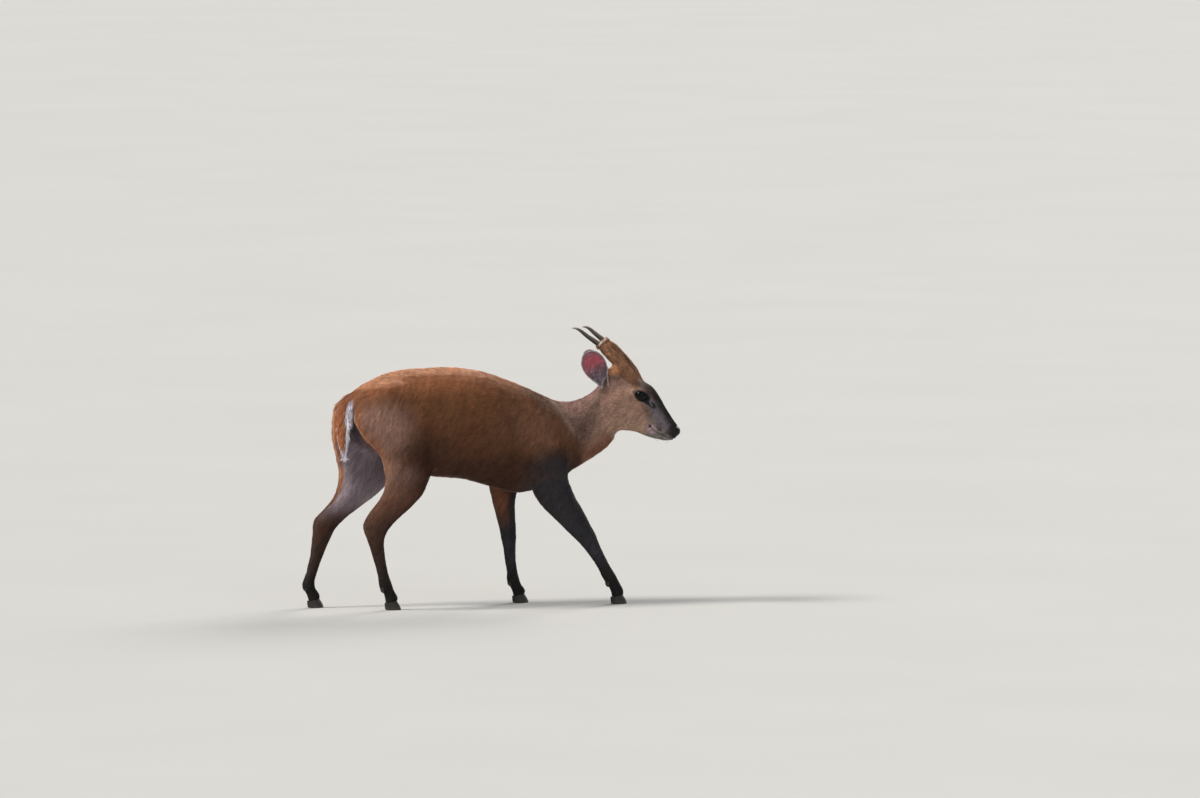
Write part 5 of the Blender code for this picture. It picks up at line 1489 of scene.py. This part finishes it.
def add_studio(key, fill, surround):
    scene = bpy.context.scene
    world = bpy.data.worlds.new("studio")
    world.use_nodes = True
    background = world.node_tree.nodes["Background"]
    background.inputs["Color"].default_value = (0.93, 0.96, 1.0, 1.0)
    background.inputs["Strength"].default_value = surround
    scene.world = world
    scene.view_settings.view_transform = "Standard"
    add_sun("key", (-0.62, 0.70, 0.22), math.radians(17), key, (1.0, 0.95, 0.88))
    add_sun("rim", (0.45, 0.55, -0.70), math.radians(30), 0.60 * key, (1.0, 0.96, 0.90))
    add_sun("fill", (0.35, 0.35, 0.87), math.radians(50), fill, (0.92, 0.96, 1.0))
    material, nodes, links, shader = blank_material("floor_paint")
    cloud = add_noise(nodes, links, 1.2, 3.0)
    tone = nodes.new("ShaderNodeValToRGB")
    tone.color_ramp.elements[0].color = (0.46, 0.46, 0.45, 1)
    tone.color_ramp.elements[1].color = (0.50, 0.50, 0.49, 1)
    links.new(cloud.outputs["Fac"], tone.inputs["Fac"])
    links.new(tone.outputs["Color"], shader.inputs["Base Color"])
    shader.inputs["Roughness"].default_value = 0.85
    count = 96
    angle = 2 * np.pi * np.arange(count) / count
    disc = np.stack([60 * np.cos(angle), 60 * np.sin(angle), np.full(count, -0.0002)], axis=1) - SHIFT
    floor = bpy.data.objects.new("floor", mesh_of("floor", disc, [tuple(range(count))]))
    scene.collection.objects.link(floor)
    floor.data.materials.append(material)


def unwrap(obj):
    """Lays the skin out flat, by its own shape."""
    bpy.context.view_layer.objects.active = obj
    obj.select_set(True)
    bpy.ops.object.mode_set(mode="EDIT")
    bpy.ops.mesh.select_all(action="SELECT")
    bpy.ops.uv.smart_project(angle_limit=math.radians(66), island_margin=0.002)
    bpy.ops.object.mode_set(mode="OBJECT")
    obj.data.uv_layers[0].name = "OFBake"


# The add-on


class MuntjacSettings(PropertyGroup):
    thickness: FloatProperty(
        name="Thickness",
        description="How many tufts grow, as a share of the full coat",
        default=1.0,
        min=0.05,
        max=1.5,
        subtype="FACTOR",
    )
    seed: IntProperty(name="Seed", description="Draw of the tufts", default=7, min=0)
    key: FloatProperty(name="Key", description="Strength of the light from above", default=3.1, min=0.0)
    fill: FloatProperty(
        name="Fill", description="Strength of the light from the camera's side", default=0.30, min=0.0
    )
    surround: FloatProperty(
        name="Surround", description="Strength of the light from all round", default=0.38, min=0.0
    )


class MUNTJAC_OT_body(Operator):
    """Fuse the fleshy solids into one skin and grow the coat on it"""

    bl_idname = "muntjac.body"
    bl_label = "Skin and coat"

    def execute(self, context):
        settings = context.scene.muntjac
        skin = Skin(fused_flesh())
        shape_skin(skin)
        skin.mesh.name = "skin"
        add_piece("skin", skin.mesh, skin_material(), FLESH)
        unwrap(bpy.data.objects["skin"])
        add_coat(skin, settings.thickness, settings.seed)
        add_whiskers(skin, np.random.default_rng(settings.seed + 1))
        return {"FINISHED"}


class MUNTJAC_OT_eyes(Operator):
    """Add the eyeballs, the edges of the lids and the lashes"""

    bl_idname = "muntjac.eyes"
    bl_label = "Eyes"

    def execute(self, context):
        eyeball, lid = eye_material(), lid_material()
        rng = np.random.default_rng(context.scene.muntjac.seed + 2)
        for word in SIDES:
            centres, out = add_eye(word, eyeball, lid)
            add_lashes(word, centres, out, rng)
        return {"FINISHED"}


class MUNTJAC_OT_horn(Operator):
    """Add the antlers and give hooves and dewclaws their horn"""

    bl_idname = "muntjac.horn"
    bl_label = "Antlers and hooves"

    def execute(self, context):
        material = antler_material()
        for word in SIDES:
            add_antler(word, material)
        dress_hooves(horn_material())
        return {"FINISHED"}


class MUNTJAC_OT_studio(Operator):
    """Set up the floor, the lights and the photo's camera"""

    bl_idname = "muntjac.studio"
    bl_label = "Studio"

    def execute(self, context):
        settings = context.scene.muntjac
        add_studio(settings.key, settings.fill, settings.surround)
        add_camera()
        return {"FINISHED"}


class MUNTJAC_PT_panel(Panel):
    """Settings of the model, and a button for each of its groups"""

    bl_label = "Muntjac"
    bl_idname = "MUNTJAC_PT_panel"
    bl_space_type = "VIEW_3D"
    bl_region_type = "UI"
    bl_category = "Muntjac"

    def draw(self, context):
        settings = context.scene.muntjac
        for name in ("thickness", "seed", "key", "fill", "surround"):
            self.layout.prop(settings, name)
        for operator in OPERATORS:
            self.layout.operator(operator.bl_idname)


OPERATORS = (MUNTJAC_OT_body, MUNTJAC_OT_eyes, MUNTJAC_OT_horn, MUNTJAC_OT_studio)
CLASSES = (MuntjacSettings, *OPERATORS, MUNTJAC_PT_panel)


def register():
    for cls in CLASSES:
        bpy.utils.register_class(cls)
    bpy.types.Scene.muntjac = PointerProperty(type=MuntjacSettings)


def unregister():
    del bpy.types.Scene.muntjac
    for cls in reversed(CLASSES):
        bpy.utils.unregister_class(cls)


def main():
    register()
    bpy.ops.muntjac.body()
    bpy.ops.muntjac.eyes()
    bpy.ops.muntjac.horn()
    bpy.ops.muntjac.studio()


if __name__ == "__main__":
    main()
